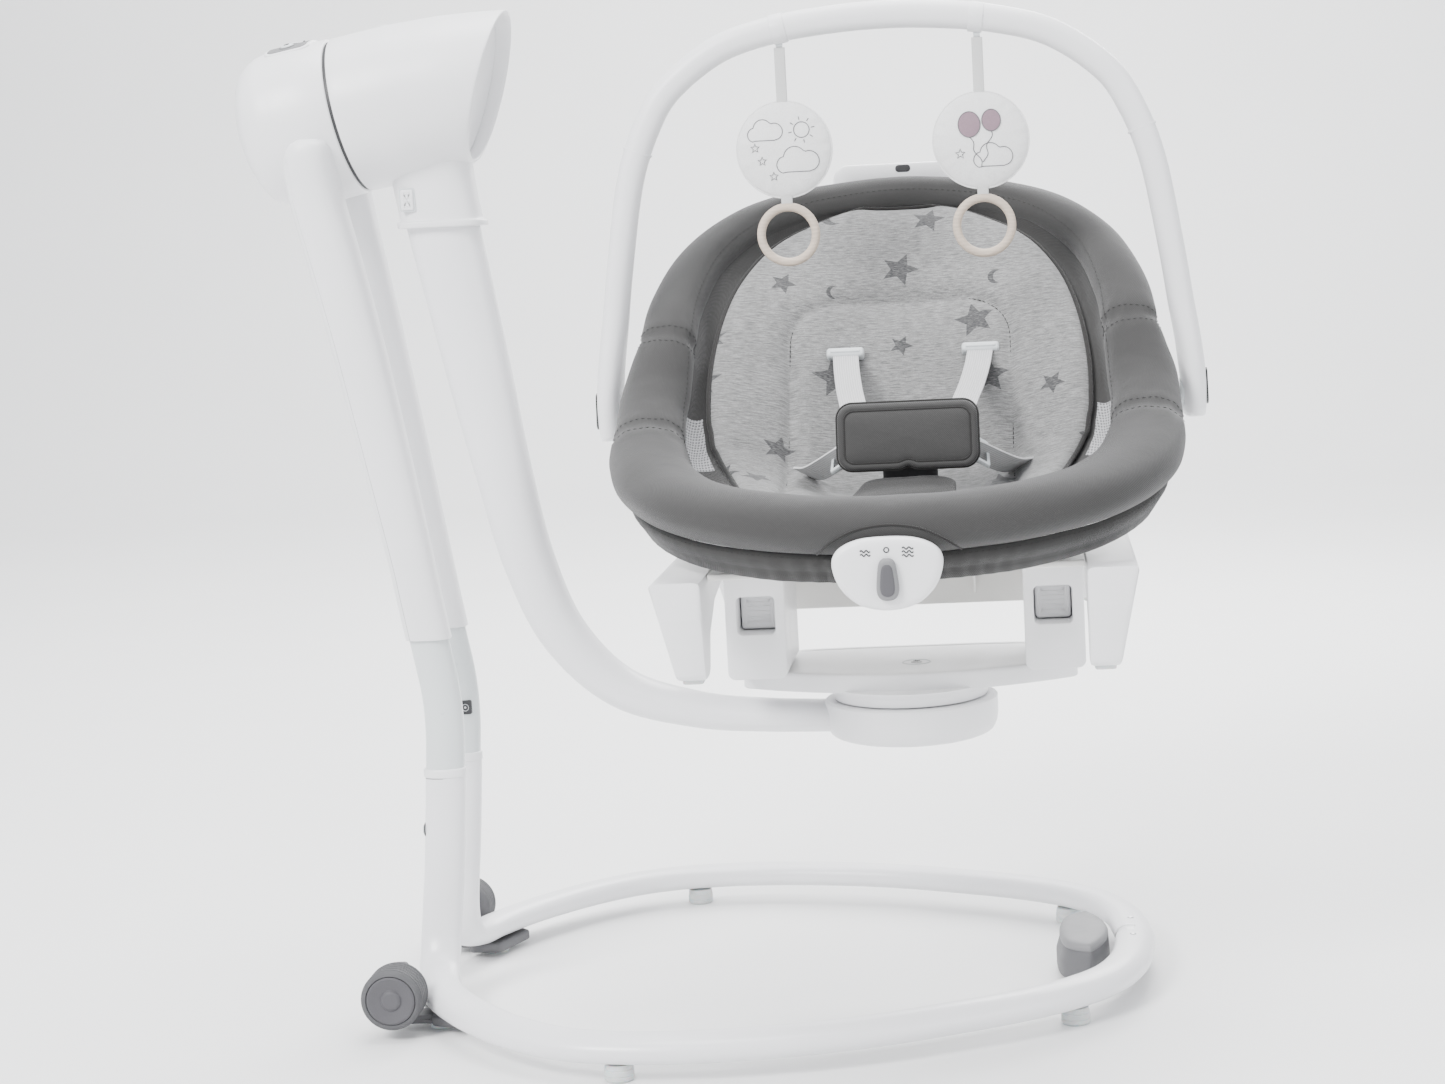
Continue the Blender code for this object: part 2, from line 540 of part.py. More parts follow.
def cushion(line, rise, thick, name, parent, look):
    cols = [k / 5 for k in range(-5, 6)]
    rings = []
    for i, (y, z, w) in enumerate(line):
        a, b = line[max(i - 1, 0)], line[min(i + 1, len(line) - 1)]
        t = Vector((0, b[0] - a[0], b[1] - a[1])).normalized()
        nrm = Vector((0, -t.z, t.y))
        top = [Vector((SEAT_X + w * c, y, z)) + nrm * (rise[i] * abs(c) ** 2.4) for c in cols]
        low = [p - nrm * thick for p in reversed(top)]
        rings.append(top + low)
    return finish(loft(rings), name, look, parent, 60)


cushion(BASE_LINE, [4, 10, 20, 32, 42, 48, 48], 20, "seat_cushion", SEAT, MELANGE)
cushion(BACK_LINE, [46, 42, 34, 24, 14, 6], 20, "back_cushion", RECLINE, MELANGE)

# ---------------------------------------------------------------- harness
HX = SEAT_X + 12
finish(box((HX - 24, HX + 24), (-78, -64), (446, 498), 3, 1), "buckle", GREY, SEAT)
e = joint_empty("buckle_button_axis", (HX, -80, 486), SEAT)
cut(bpy.data.objects["buckle"], finish(box((HX - 9, HX + 9), (-90, -70), (478, 494)),
                                       "buckle_pocket", None, SEAT))
finish(box((HX - 8.5, HX + 8.5), (-79.5, -73), (478.5, 493.5), 1, 1), "buckle_button",
       ((0.5, 0.08, 0.06), 0.5), e)
cover_pts = rounded(62, 30, 13, 4)
lean = math.radians(16)
finish(prism(cover_pts, lambda u, v, w: Vector((HX + u, -92 + v * math.sin(lean) + w,
                                                508 + v * math.cos(lean))), -7, 7, 4, 1),
       "buckle_cover", CHARCOAL, SEAT)


def strap(name, pts, parent, width=24, thick=2.4):
    path = spline(pts, 3)
    a = width / 2
    b = thick / 2
    return finish(sweep(path, (1, 0, 0), [(a, -b), (a, b), (-a, b), (-a, -b)]), name, WEB, parent)


for side, s in (("left", -1), ("right", 1)):
    strap(f"shoulder_strap_{side}",
          [(HX + s * 63, 90, 572), (HX + s * 62, 74, 553), (HX + s * 56, 36, 541),
           (HX + s * 49, -30, 530), (HX + s * 46, -68, 522)], RECLINE)
    strap(f"waist_strap_{side}",
          [(HX + s * 44, -74, 500), (HX + s * 64, -62, 486), (HX + s * 84, -36, 472),
           (HX + s * 98, -8, 470)], SEAT)

# ---------------------------------------------------------------- vibration unit
shield = [(0, 441), (-22, 440), (-38, 434), (-44, 425), (-42, 413), (-34, 400), (-20, 390),
          (0, 386.5), (20, 390), (34, 400), (42, 413), (44, 425), (38, 434), (22, 440)]
unit = finish(prism(shield, lambda u, v, w: Vector((SEAT_X + u, w, v)), -287, -274, 4, 2),
              "vibration_housing", WHITE, SEAT)
join(unit, finish(box((SEAT_X - 30, SEAT_X + 30), (-278, -249), (391.5, 417), 3, 1),
                  "unit_body", None, SEAT))
cut(unit, finish(box((SEAT_X - 25, SEAT_X + 25), (-274.5, -240), (394.5, 414)), "unit_pocket",
                 None, SEAT),
    finish(cylinder((SEAT_X, -290, 409), (0, 1, 0), -5, 8, 4.3, 12), "knob_hole", None, SEAT))
finish(lathe([(-20, 0), (-20, 8), (12, 8), (12, 3), (18, 3), (18, 0)], (SEAT_X, -262, 404),
             (1, 0, 0), 14), "vibration_motor", STEEL, SEAT)
e = joint_empty("vibration_knob_axis", (SEAT_X, -289, 409), SEAT)
knob_pts = [(-10, 405), (-7, 397), (0, 393.5), (7, 397), (10, 405), (8, 416), (3.5, 426),
            (0, 427.5), (-3.5, 426), (-8, 416)]
knob = finish(prism(knob_pts, lambda u, v, w: Vector((SEAT_X + u, w, v)), -293.8, -287.4, 2, 1),
              "vibration_knob", GREY, e)
join(knob, finish(cylinder((SEAT_X, -290, 409), (0, 1, 0), 0, 7.6, 4.0, 12), "knob_stub", None,
                  e))

# ---------------------------------------------------------------- toy bar and toys
# x from the middle, z, half thickness across, half depth
BAR = [(268, 503, 9, 16), (268.5, 510, 11, 20), (268, 540, 12, 23), (264.5, 575, 12, 22),
       (259.5, 607, 12, 19), (252, 660, 12, 16), (238, 738, 12.3, 14), (219, 789, 12.5, 13),
       (196, 822, 12.5, 12.5), (150, 854, 12.5, 12.5), (97, 869, 12.5, 12.5),
       (47, 875, 12.5, 12.5), (0, 877, 12.5, 12.5)]
full = BAR + [(-x, z, a, b) for x, z, a, b in reversed(BAR[:-1])]
pts = spline([(SEAT_X + x, PIVOT_Y, z) for x, z, a, b in full], 1)
sizes = spline([(a, b, 0) for x, z, a, b in full], 1)
bar = finish(sweep(pts, (1, 0, 0), [oval(q.x, q.y, 10) for q in sizes]), "toy_bar", WHITE, TOYBAR)
for side, s in (("left", -1), ("right", 1)):
    join(bar, finish(cylinder((SEAT_X, PIVOT_Y, PIVOT_Z), (s, 0, 0), 237, 262, 6, 12),
                     f"bar_pin_{side}", None, TOYBAR))

    x = SEAT_X + TOY_X[side]
    e = joint_empty(f"toy_{side}_axis", (x, PIVOT_Y, TOY_Z), TOYBAR)
    disc = finish(lathe([(-9, 0), (-9, 28), (-6, 38), (0, 43.5), (6, 38), (9, 28), (9, 0)],
                        (x, PIVOT_Y, 761), (0, 1, 0), 20), f"toy_disc_{side}",
                  ((0.88, 0.88, 0.88), 0.9), e)
    join(disc, finish(box((x - 5, x + 5), (PIVOT_Y - 1.5, PIVOT_Y + 1.5), (713.5, TOY_Z - 3)),
                      f"toy_ribbon_{side}", None, e))
    e2 = joint_empty(f"toy_ring_{side}_axis", (x, PIVOT_Y, 713), e)
    ring_pts = [(3.8 * math.cos(t), 25 + 3.8 * math.sin(t))
                for t in (2 * math.pi * k / 6 for k in range(6))]
    finish(lathe(ring_pts, (x, PIVOT_Y, 684), (0, 1, 0), 16, ring=True), f"toy_ring_{side}",
           ((0.75, 0.65, 0.56), 0.6), e2)
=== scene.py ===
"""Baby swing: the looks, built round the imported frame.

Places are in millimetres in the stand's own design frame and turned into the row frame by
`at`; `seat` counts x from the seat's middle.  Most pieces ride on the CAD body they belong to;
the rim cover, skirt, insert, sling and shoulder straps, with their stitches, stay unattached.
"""
import json
import math
import random

import bmesh
import bpy
import numpy as np
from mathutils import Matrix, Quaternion, Vector, noise
from mathutils.bvhtree import BVHTree


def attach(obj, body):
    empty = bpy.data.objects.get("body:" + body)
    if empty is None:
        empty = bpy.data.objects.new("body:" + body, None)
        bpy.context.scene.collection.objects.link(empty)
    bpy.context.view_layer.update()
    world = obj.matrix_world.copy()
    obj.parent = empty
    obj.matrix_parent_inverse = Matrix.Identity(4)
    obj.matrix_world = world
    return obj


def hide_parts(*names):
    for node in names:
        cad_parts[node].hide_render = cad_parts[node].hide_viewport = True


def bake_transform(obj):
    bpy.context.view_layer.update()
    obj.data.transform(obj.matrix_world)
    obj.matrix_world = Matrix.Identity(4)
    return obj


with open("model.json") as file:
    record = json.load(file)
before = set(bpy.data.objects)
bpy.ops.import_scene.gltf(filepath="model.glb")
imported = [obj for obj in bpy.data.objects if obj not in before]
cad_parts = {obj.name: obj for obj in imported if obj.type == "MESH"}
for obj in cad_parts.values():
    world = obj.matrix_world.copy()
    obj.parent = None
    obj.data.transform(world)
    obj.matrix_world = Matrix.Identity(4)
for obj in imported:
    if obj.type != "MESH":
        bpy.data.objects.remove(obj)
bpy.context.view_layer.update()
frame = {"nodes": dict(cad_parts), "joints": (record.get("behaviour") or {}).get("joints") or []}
NODES = frame["nodes"]
JOINT = {j["name"]: j for j in frame["joints"]}

MM = 0.001
HEAD = Vector(JOINT["swing"]["pos_m"])             # middle of the head's split, on the swing axis
AX = Vector(JOINT["swing"]["axis"]).normalized()
UP = Vector((-AX.z, 0.0, AX.x))
PIVOT = Vector(JOINT["recline"]["pos_m"])          # recline and toy bar axis
OFFSET = HEAD.x + 0.327                            # the design frame's shift along x
SEAT_X = (PIVOT.x - OFFSET) / MM
X, Y, Z = Vector((1, 0, 0)), Vector((0, 1, 0)), Vector((0, 0, 1))


def at(x, y, z):
    """A point of the design frame, in millimetres, as a point of the row frame."""
    return Vector((x * MM + OFFSET, y * MM, z * MM))


def seat(x, y, z):
    return at(SEAT_X + x, y, z)


def head(along, up, y=0.0):
    return HEAD + (AX * along + UP * up + Y * y) * MM


# ---------------------------------------------------------------- curves and outlines
def spline(points, per=4, closed=False):
    """Catmull-Rom curve through rows of numbers."""
    rows = np.array([tuple(p) for p in points], float)
    if closed:
        ext = np.vstack([rows[-1:], rows, rows[:2]])
    else:
        ext = np.vstack([2 * rows[0] - rows[1], rows, 2 * rows[-1] - rows[-2]])
    out = []
    for i in range(1, len(ext) - 2):
        p0, p1, p2, p3 = ext[i - 1:i + 3]
        for k in range(per):
            t = k / per
            out.append(0.5 * (2 * p1 + (p2 - p0) * t + (2 * p0 - 5 * p1 + 4 * p2 - p3) * t * t
                              + (3 * p1 - p0 - 3 * p2 + p3) * t ** 3))
    if not closed:
        out.append(rows[-1])
    return out


def turns(n):
    """n angles evenly round a circle."""
    return [2 * math.pi * i / n for i in range(n)]


def oval(a, b, n=48, power=2.0):
    """Points of a superellipse with half axes a and b."""
    def bulge(k):
        return math.copysign(abs(k) ** (2 / power), k)

    return [(a * bulge(math.cos(t)), b * bulge(math.sin(t))) for t in turns(n)]


def rounded(w, h, r, n=8):
    """Rounded rectangle outline with half sizes w and h, anticlockwise."""
    pts = []
    for cx, cy, a0 in ((w - r, h - r, 0), (r - w, h - r, 90), (r - w, r - h, 180),
                       (w - r, r - h, 270)):
        for k in range(n + 1):
            a = math.radians(a0 + 90 * k / n)
            pts.append((cx + r * math.cos(a), cy + r * math.sin(a)))
    return pts


def fillet(points, radius, steps=5, closed=False):
    """Round a 2-D polyline's corners with arcs of about `radius`."""
    pts = [Vector(p) for p in points]
    n = len(pts)
    out = []
    for i, p in enumerate(pts):
        if not closed and i in (0, n - 1):
            out.append(tuple(p))
            continue
        a, b = pts[i - 1] - p, pts[(i + 1) % n] - p
        if a.length < 1e-9 or b.length < 1e-9 or a.angle(b) > math.radians(172):
            out.append(tuple(p))
            continue
        reach = min(radius / math.tan(a.angle(b) / 2), a.length * 0.48, b.length * 0.48)
        start, end = p + a.normalized() * reach, p + b.normalized() * reach
        for k in range(steps + 1):
            t = k / steps
            out.append(tuple(start * (1 - t) ** 2 + p * 2 * t * (1 - t) + end * t * t))
    return out


NEAR_INSET = 4.0


def inset(points, distance):
    """The outline moved inwards by a distance, for an anticlockwise outline.

    Past NEAR_INSET the rest is done by drawing it in towards its middle, so that corners never
    cross.
    """
    near = max(min(distance, NEAR_INSET), -NEAR_INSET)
    pts = [Vector(p) for p in points]
    out = []
    for i, p in enumerate(pts):
        t = (pts[(i + 1) % len(pts)] - pts[i - 1]).normalized()
        out.append(p + Vector((-t.y, t.x)) * near)
    far = distance - near
    if far > 0:
        lo = [min(q[k] for q in out) for k in (0, 1)]
        hi = [max(q[k] for q in out) for k in (0, 1)]
        mid = [(a + b) / 2 for a, b in zip(lo, hi)]
        half = [(b - a) / 2 for a, b in zip(lo, hi)]
        keep = [max(1 - far / h, 0.05) for h in half]
        out = [(mid[0] + (u - mid[0]) * keep[0], mid[1] + (v - mid[1]) * keep[1]) for u, v in out]
    return [tuple(q) for q in out]


# ---------------------------------------------------------------- meshes
def build(name, verts, faces, mat, body=None, smooth=42, uvs=None):
    """A mesh object from points in the row frame; it rides on `body` if one is given."""
    mesh = bpy.data.meshes.new(name)
    mesh.from_pydata([tuple(v) for v in verts], [], faces)
    if uvs is not None:
        layer = mesh.uv_layers.new(name="cloth")
        for loop in mesh.loops:
            layer.data[loop.index].uv = uvs[loop.vertex_index]
    bm = bmesh.new()
    bm.from_mesh(mesh)
    bmesh.ops.recalc_face_normals(bm, faces=bm.faces)
    bm.to_mesh(mesh)
    bm.free()
    mesh.shade_smooth()
    mesh.set_sharp_from_angle(angle=math.radians(smooth))
    mesh.materials.append(mat)
    ob = bpy.data.objects.new(name, mesh)
    bpy.context.scene.collection.objects.link(ob)
    if body:
        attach(ob, body)
    return ob


def skin(rings, closed=False, caps=True):
    """Points and faces between rings with equal numbers of points."""
    n = len(rings[0])
    verts = [p for ring in rings for p in ring]
    faces = []
    rows = len(rings)
    for i in range(rows if closed else rows - 1):
        a, b = i * n, ((i + 1) % rows) * n
        for j in range(n):
            k = (j + 1) % n
            faces.append((a + j, a + k, b + k, b + j))
    if caps and not closed:
        faces.append(tuple(reversed(range(n))))
        faces.append(tuple(range((rows - 1) * n, rows * n)))
    return verts, faces


def frames(path, wide, closed=False):
    """Points of a path with across and through directions, carried along it without twist."""
    path = [Vector(p) for p in path]
    w = Vector(wide).normalized()
    out = []
    for i, p in enumerate(path):
        if closed:
            t = (path[(i + 1) % len(path)] - path[i - 1]).normalized()
        else:
            t = (path[min(i + 1, len(path) - 1)] - path[max(i - 1, 0)]).normalized()
        w = (w - t * w.dot(t)).normalized()
        out.append((p, w, t.cross(w)))
    return out


def sweep(name, path, wide, sections, mat, body=None, smooth=42):
    """Loft 2-D sections (millimetres) along a path in the row frame."""
    rings = []
    for i, (p, w, v) in enumerate(frames(path, wide)):
        sec = sections[i] if isinstance(sections[0], list) else sections
        rings.append([p + (w * q[0] + v * q[1]) * MM for q in sec])
    return build(name, *skin(rings), mat, body, smooth)


def lathe(name, profile, origin, axis, mat, body=None, n=64, ring=False):
    """Turn (along, radius) points, in millimetres, about an axis through origin."""
    axis = Vector(axis).normalized()
    side = Y if abs(axis.y) < 0.9 else X
    side = (side - axis * side.dot(axis)).normalized()
    up = axis.cross(side)
    verts, rows, faces = [], [], []
    for a, r in profile:
        base = Vector(origin) + axis * a * MM
        start = len(verts)
        if abs(r) < 1e-6:
            verts.append(base)
            rows.append([start] * n)
        else:
            for t in turns(n):
                verts.append(base + (side * math.cos(t) + up * math.sin(t)) * r * MM)
            rows.append(list(range(start, start + n)))
    pairs = list(zip(rows, rows[1:])) + ([(rows[-1], rows[0])] if ring else [])
    for a, b in pairs:
        for i in range(n):
            j = (i + 1) % n
            quad = tuple(dict.fromkeys((a[i], a[j], b[j], b[i])))
            if len(quad) > 2:
                faces.append(quad)
    return build(name, verts, faces, mat, body)


def plaque(name, outline, place, profile, mat, body=None, smooth=42, fan=True):
    """A slab with an anticlockwise outline and an edge profile of (inset, height) rows.

    place(u, v, h) gives the world point.  fan=False closes the front with one flat face, which
    suits outlines that bend inwards.
    """
    if sum(a[0] * b[1] - b[0] * a[1] for a, b in zip(outline, outline[1:] + outline[:1])) < 0:
        outline = outline[::-1]
    loops = [inset(outline, d) if d else outline for d, h in profile]
    rings = [[place(u, v, h) for u, v in loop] for loop, (d, h) in zip(loops, profile)]
    verts, faces = skin(rings, caps=not fan)
    if not fan:
        return build(name, verts, faces, mat, body, smooth)
    n, last, h = len(outline), loops[-1], profile[-1][1]
    cu, cv = (sum(p[k] for p in last) / n for k in (0, 1))
    base = len(verts) - n
    for f in (0.66, 0.33):
        new = len(verts)
        verts += [place(cu + (u - cu) * f, cv + (v - cv) * f, h) for u, v in last]
        faces += [(base + j, base + (j + 1) % n, new + (j + 1) % n, new + j) for j in range(n)]
        base = new
    verts.append(place(cu, cv, h))
    faces += [(base + j, base + (j + 1) % n, len(verts) - 1) for j in range(n)]
    faces.append(tuple(reversed(range(n))))
    return build(name, verts, faces, mat, body, smooth)


def rod(name, path, r, mat, body=None, n=10, closed=False, tilt=X):
    """A round wire along a path in the row frame, radius in millimetres."""
    rings = []
    for p, w, v in frames(path, tilt, closed):
        rings.append([p + (w * math.cos(a) + v * math.sin(a)) * r * MM
                      for a in turns(n)])
    return build(name, *skin(rings, closed), mat, body, 60)


def subdivide(ob):
    mod = ob.modifiers.new("subdivision", "SUBSURF")
    mod.levels = mod.render_levels = 1


def thicken(ob, depth):
    mod = ob.modifiers.new("thickness", "SOLIDIFY")
    mod.thickness = depth * MM
    mod.offset = 0


# ---------------------------------------------------------------- materials
class Look:
    """Builds one node material a step at a time; lengths on the object are in metres."""

    def __init__(self, name, color, rough=0.5, metal=0.0, **sockets):
        self.mat = bpy.data.materials.new(name)
        self.mat.use_nodes = True
        self.tree = self.mat.node_tree
        self.bsdf = self.tree.nodes["Principled BSDF"]
        self.bsdf.inputs["Base Color"].default_value = (*color, 1)
        self.bsdf.inputs["Roughness"].default_value = rough
        self.bsdf.inputs["Metallic"].default_value = metal
        for key, value in sockets.items():
            self.bsdf.inputs[key.replace("_", " ")].default_value = value
        self.mat.diffuse_color = (*color, 1)
        self.coord = self.tree.nodes.new("ShaderNodeTexCoord")
        self.normal = None

    def place(self, uv=False, scale=(1, 1, 1), turn=0.0):
        node = self.tree.nodes.new("ShaderNodeMapping")
        node.inputs["Scale"].default_value = scale
        node.inputs["Rotation"].default_value = (0, 0, turn)
        self.link(self.coord.outputs["UV" if uv else "Object"], node.inputs["Vector"])
        return node.outputs["Vector"]

    def link(self, a, b):
        self.tree.links.new(a, b)

    def noise(self, vector, scale, detail=3.0, rough=0.55, distortion=0.0):
        node = self.tree.nodes.new("ShaderNodeTexNoise")
        node.inputs["Scale"].default_value = scale
        node.inputs["Detail"].default_value = detail
        node.inputs["Roughness"].default_value = rough
        node.inputs["Distortion"].default_value = distortion
        self.link(vector, node.inputs["Vector"])
        return node.outputs["Fac"]

    def waves(self, vector, pitch, direction="X", distortion=0.0):
        """Bands `pitch` metres apart, from 0 to 1."""
        node = self.tree.nodes.new("ShaderNodeTexWave")
        node.bands_direction = direction
        reach = 10 * math.sqrt(2) if direction == "DIAGONAL" else 20
        node.inputs["Scale"].default_value = 2 * math.pi / (reach * pitch)
        node.inputs["Distortion"].default_value = distortion
        node.inputs["Detail"].default_value = 1.0
        self.link(vector, node.inputs["Vector"])
        return node.outputs["Fac"]

    def math(self, kind, a, b=None):
        node = self.tree.nodes.new("ShaderNodeMath")
        node.operation = kind
        for i, v in enumerate((a, b)):
            if v is None:
                continue
            if isinstance(v, (int, float)):
                node.inputs[i].default_value = v
            else:
                self.link(v, node.inputs[i])
        return node.outputs[0]

    def times(self, a, b):
        return self.math("MULTIPLY", a, b)

    def plus(self, a, b):
        return self.math("ADD", a, b)

    def minus(self, a, b):
        return self.math("SUBTRACT", a, b)

    def length(self, a, b):
        return self.math("SQRT", self.plus(self.times(a, a), self.times(b, b)))

    def span(self, value, low, high, from_low=0.3, from_high=0.7):
        node = self.tree.nodes.new("ShaderNodeMapRange")
        node.inputs["From Min"].default_value = from_low
        node.inputs["From Max"].default_value = from_high
        node.inputs["To Min"].default_value = low
        node.inputs["To Max"].default_value = high
        self.link(value, node.inputs["Value"])
        return node.outputs["Result"]

    def mix(self, fac, a, b):
        node = self.tree.nodes.new("ShaderNodeMix")
        node.data_type = "RGBA"
        self.link(fac, node.inputs[0])
        for i, v in ((6, a), (7, b)):
            if isinstance(v, tuple):
                node.inputs[i].default_value = (*v, 1)
            else:
                self.link(v, node.inputs[i])
        return node.outputs[2]

    def paint(self, color):
        self.link(color, self.bsdf.inputs["Base Color"])

    def shades(self, value, color, low, high, *limits):
        """The color from `low` times to `high` times its brightness, as value rises."""
        return self.mix(self.span(value, 0, 1, *limits), shade(color, low), shade(color, high))

    def roughen(self, value):
        self.link(value, self.bsdf.inputs["Roughness"])

    def bump(self, height, depth, strength=1.0):
        """Adds a bump of `depth` metres for a height of 1."""
        node = self.tree.nodes.new("ShaderNodeBump")
        node.inputs["Strength"].default_value = strength
        node.inputs["Distance"].default_value = depth
        self.link(height, node.inputs["Height"])
        if self.normal is not None:
            self.link(self.normal, node.inputs["Normal"])
        self.normal = node.outputs["Normal"]
        self.link(self.normal, self.bsdf.inputs["Normal"])


def shade(color, k):
    return tuple(min(1.0, c * k) for c in color)


def moulded(name, color, rough=0.42, grain=0.00012, coat=0.12, vary=0.03):
    """Injection-moulded plastic: faint mottling, fine spark grain, uneven gloss."""
    look = Look(name, color, rough, Coat_Weight=coat, Coat_Roughness=0.35, Specular_IOR_Level=0.42)
    where = look.place()
    cloud = look.noise(where, 9.0, 4.0)
    look.paint(look.shades(cloud, color, 1 - vary, 1 + vary * 0.4))
    smear = look.noise(where, 42.0, 5.0, 0.65)
    look.roughen(look.span(smear, rough - 0.05, rough + 0.07))
    look.bump(look.noise(where, 1150.0, 2.0, 0.5), grain, 0.55)
    look.bump(look.noise(where, 16.0, 2.0, 0.5), 0.0011, 0.08)
    return look.mat


def powder(name, color, rough=0.34):
    """Powder coat on steel tube: orange peel and small gloss changes."""
    look = Look(name, color, rough, Coat_Weight=0.3, Coat_Roughness=0.18)
    where = look.place()
    look.paint(look.shades(look.noise(where, 7.0, 3.0), color, 0.965, 1.012))
    look.roughen(look.span(look.noise(where, 60.0, 4.0), rough - 0.05, rough + 0.06))
    look.bump(look.noise(where, 420.0, 2.0, 0.4), 0.00022, 0.35)
    look.bump(look.noise(where, 1900.0, 1.0), 0.00004, 0.4)
    return look.mat


def brushed(name, color=(0.56, 0.56, 0.57)):
    look = Look(name, color, 0.3, 1.0, Anisotropic=0.5)
    lines = look.noise(look.place(scale=(30, 1, 1)), 260.0, 3.0)
    look.roughen(look.span(lines, 0.24, 0.44))
    look.paint(look.shades(lines, color, 0.86, 1.1))
    look.bump(lines, 0.00004, 0.6)
    return look.mat


def rubber(name, color, rough=0.72, clear=0.0):
    look = Look(name, color, rough, Subsurface_Weight=clear, Subsurface_Scale=0.006,
                Specular_IOR_Level=0.35)
    where = look.place()
    dust = look.noise(where, 55.0, 5.0, 0.7)
    look.paint(look.shades(dust, color, 0.9, 1.12))
    look.roughen(look.span(look.noise(where, 130.0, 3.0), rough - 0.08, rough + 0.08))
    look.bump(look.noise(where, 800.0, 3.0, 0.6), 0.0002, 0.5)
    return look.mat


def twill(name, color, pitch=0.0013, melange=0.16, sheen=0.35, uv=True):
    """Dense twill: diagonal ribs, crossing threads, flecks of lighter yarn, soft folds."""
    look = Look(name, color, 0.9, Sheen_Weight=sheen, Sheen_Roughness=0.45,
                Specular_IOR_Level=0.2)
    where = look.place(uv)
    ribs = look.waves(where, pitch, "DIAGONAL", 0.35)
    cross = look.waves(look.place(uv, turn=math.radians(90)), pitch * 0.8, "X", 0.25)
    weave = look.times(ribs, look.plus(look.times(cross, 0.45), 0.55))
    fleck = look.noise(look.place(uv, scale=(1, 2.6, 1)), 640.0, 2.0, 0.7)
    tone = look.noise(where, 14.0, 4.0, 0.6)
    body = look.shades(tone, color, 0.9, 1.1)
    body = look.mix(look.span(fleck, 0, melange, 0.45, 0.75), body, shade(color, 1.9))
    look.paint(look.mix(look.span(weave, 0, 0.4, 0.0, 0.6), shade(color, 0.62), body))
    look.roughen(look.span(tone, 0.84, 0.96))
    look.bump(weave, 0.00035, 0.6)
    look.bump(look.noise(where, 30.0, 3.0, 0.5, 0.4), 0.0016, 0.35)
    return look.mat


def star_field(look, cell, smallest, largest):
    """0 to 1 over scattered five-pointed stars and crescents, one for each cell of a grid."""
    where = look.place(True)
    cells = look.tree.nodes.new("ShaderNodeTexVoronoi")
    cells.voronoi_dimensions = "2D"
    cells.inputs["Scale"].default_value = 1 / cell
    cells.inputs["Randomness"].default_value = 0.72
    look.link(where, cells.inputs["Vector"])
    offset = look.tree.nodes.new("ShaderNodeVectorMath")
    offset.operation = "SUBTRACT"
    look.link(where, offset.inputs[0])
    look.link(cells.outputs["Position"], offset.inputs[1])
    flat = look.tree.nodes.new("ShaderNodeSeparateXYZ")
    look.link(offset.outputs["Vector"], flat.inputs[0])
    pick = look.tree.nodes.new("ShaderNodeSeparateColor")
    look.link(cells.outputs["Color"], pick.inputs[0])
    dx, dy = flat.outputs[0], flat.outputs[1]
    far = look.length(dx, dy)
    sector = 2 * math.pi / 5                       # one point of the star
    turn = look.plus(look.math("ARCTAN2", dy, dx), look.times(pick.outputs[0], 6.28))
    fold = look.minus(look.math("FLOORED_MODULO", turn, sector), sector / 2)
    fold = look.minus(sector / 2, look.math("ABSOLUTE", fold))
    reach = look.plus(look.math("COSINE", fold), look.times(look.math("SINE", fold), 2.3))
    size = look.span(pick.outputs[1], smallest, largest, 0.0, 1.0)
    inside = look.math("LESS_THAN", look.times(far, reach), size)
    moon_r = look.times(size, 0.62)
    bite = look.length(look.minus(dx, look.times(moon_r, 0.55)), dy)
    moon = look.times(look.math("LESS_THAN", far, moon_r),
                      look.math("GREATER_THAN", bite, look.times(moon_r, 0.92)))
    is_moon = look.math("GREATER_THAN", pick.outputs[2], 0.8)
    chosen = look.plus(look.times(inside, look.minus(1.0, is_moon)), look.times(moon, is_moon))
    return look.times(chosen, look.math("GREATER_THAN", pick.outputs[2], 0.16))


def jersey(name, color, print_color=None):
    """Heathered jersey: streaks of light and dark yarn, fine knit ribs, and a faint print."""
    look = Look(name, color, 0.93, Sheen_Weight=0.3, Sheen_Roughness=0.5,
                Specular_IOR_Level=0.18)
    where = look.place(True)
    streak = look.noise(look.place(True, scale=(1, 7.5, 1)), 95.0, 5.0, 0.75, 0.2)
    fine = look.noise(look.place(True, scale=(1, 3.0, 1)), 620.0, 2.0, 0.7)
    tone = look.shades(streak, color, 0.52, 1.36, 0.38, 0.6)
    tone = look.mix(look.span(fine, 0, 0.65, 0.42, 0.7), tone, shade(color, 0.5))
    if print_color:
        brush = look.noise(look.place(True, scale=(1, 4.0, 1), turn=0.6), 260.0, 3.0, 0.6)
        mask = look.times(star_field(look, 0.066, 0.0065, 0.024),
                          look.span(brush, 0.5, 1.0, 0.35, 0.6))
        tone = look.mix(mask, tone, print_color)
    look.paint(tone)
    knit = look.waves(look.place(True), 0.0011, "X", 0.6)
    rows = look.waves(look.place(True), 0.0014, "Y", 0.6)
    look.bump(look.times(knit, look.plus(look.times(rows, 0.5), 0.5)), 0.0003, 0.45)
    look.bump(look.noise(where, 22.0, 3.0, 0.5, 0.5), 0.002, 0.3)
    return look.mat


def webbing(name, color):
    look = Look(name, color, 0.8, Sheen_Weight=0.15, Specular_IOR_Level=0.3)
    where = look.place(True)
    ribs = look.waves(where, 0.0021, "X", 0.1)
    picks = look.waves(where, 0.0012, "Y", 0.2)
    cell = look.times(ribs, look.plus(look.times(picks, 0.5), 0.5))
    look.paint(look.shades(cell, color, 0.78, 1.06, 0.0, 0.8))
    look.bump(cell, 0.0004, 0.8)
    return look.mat


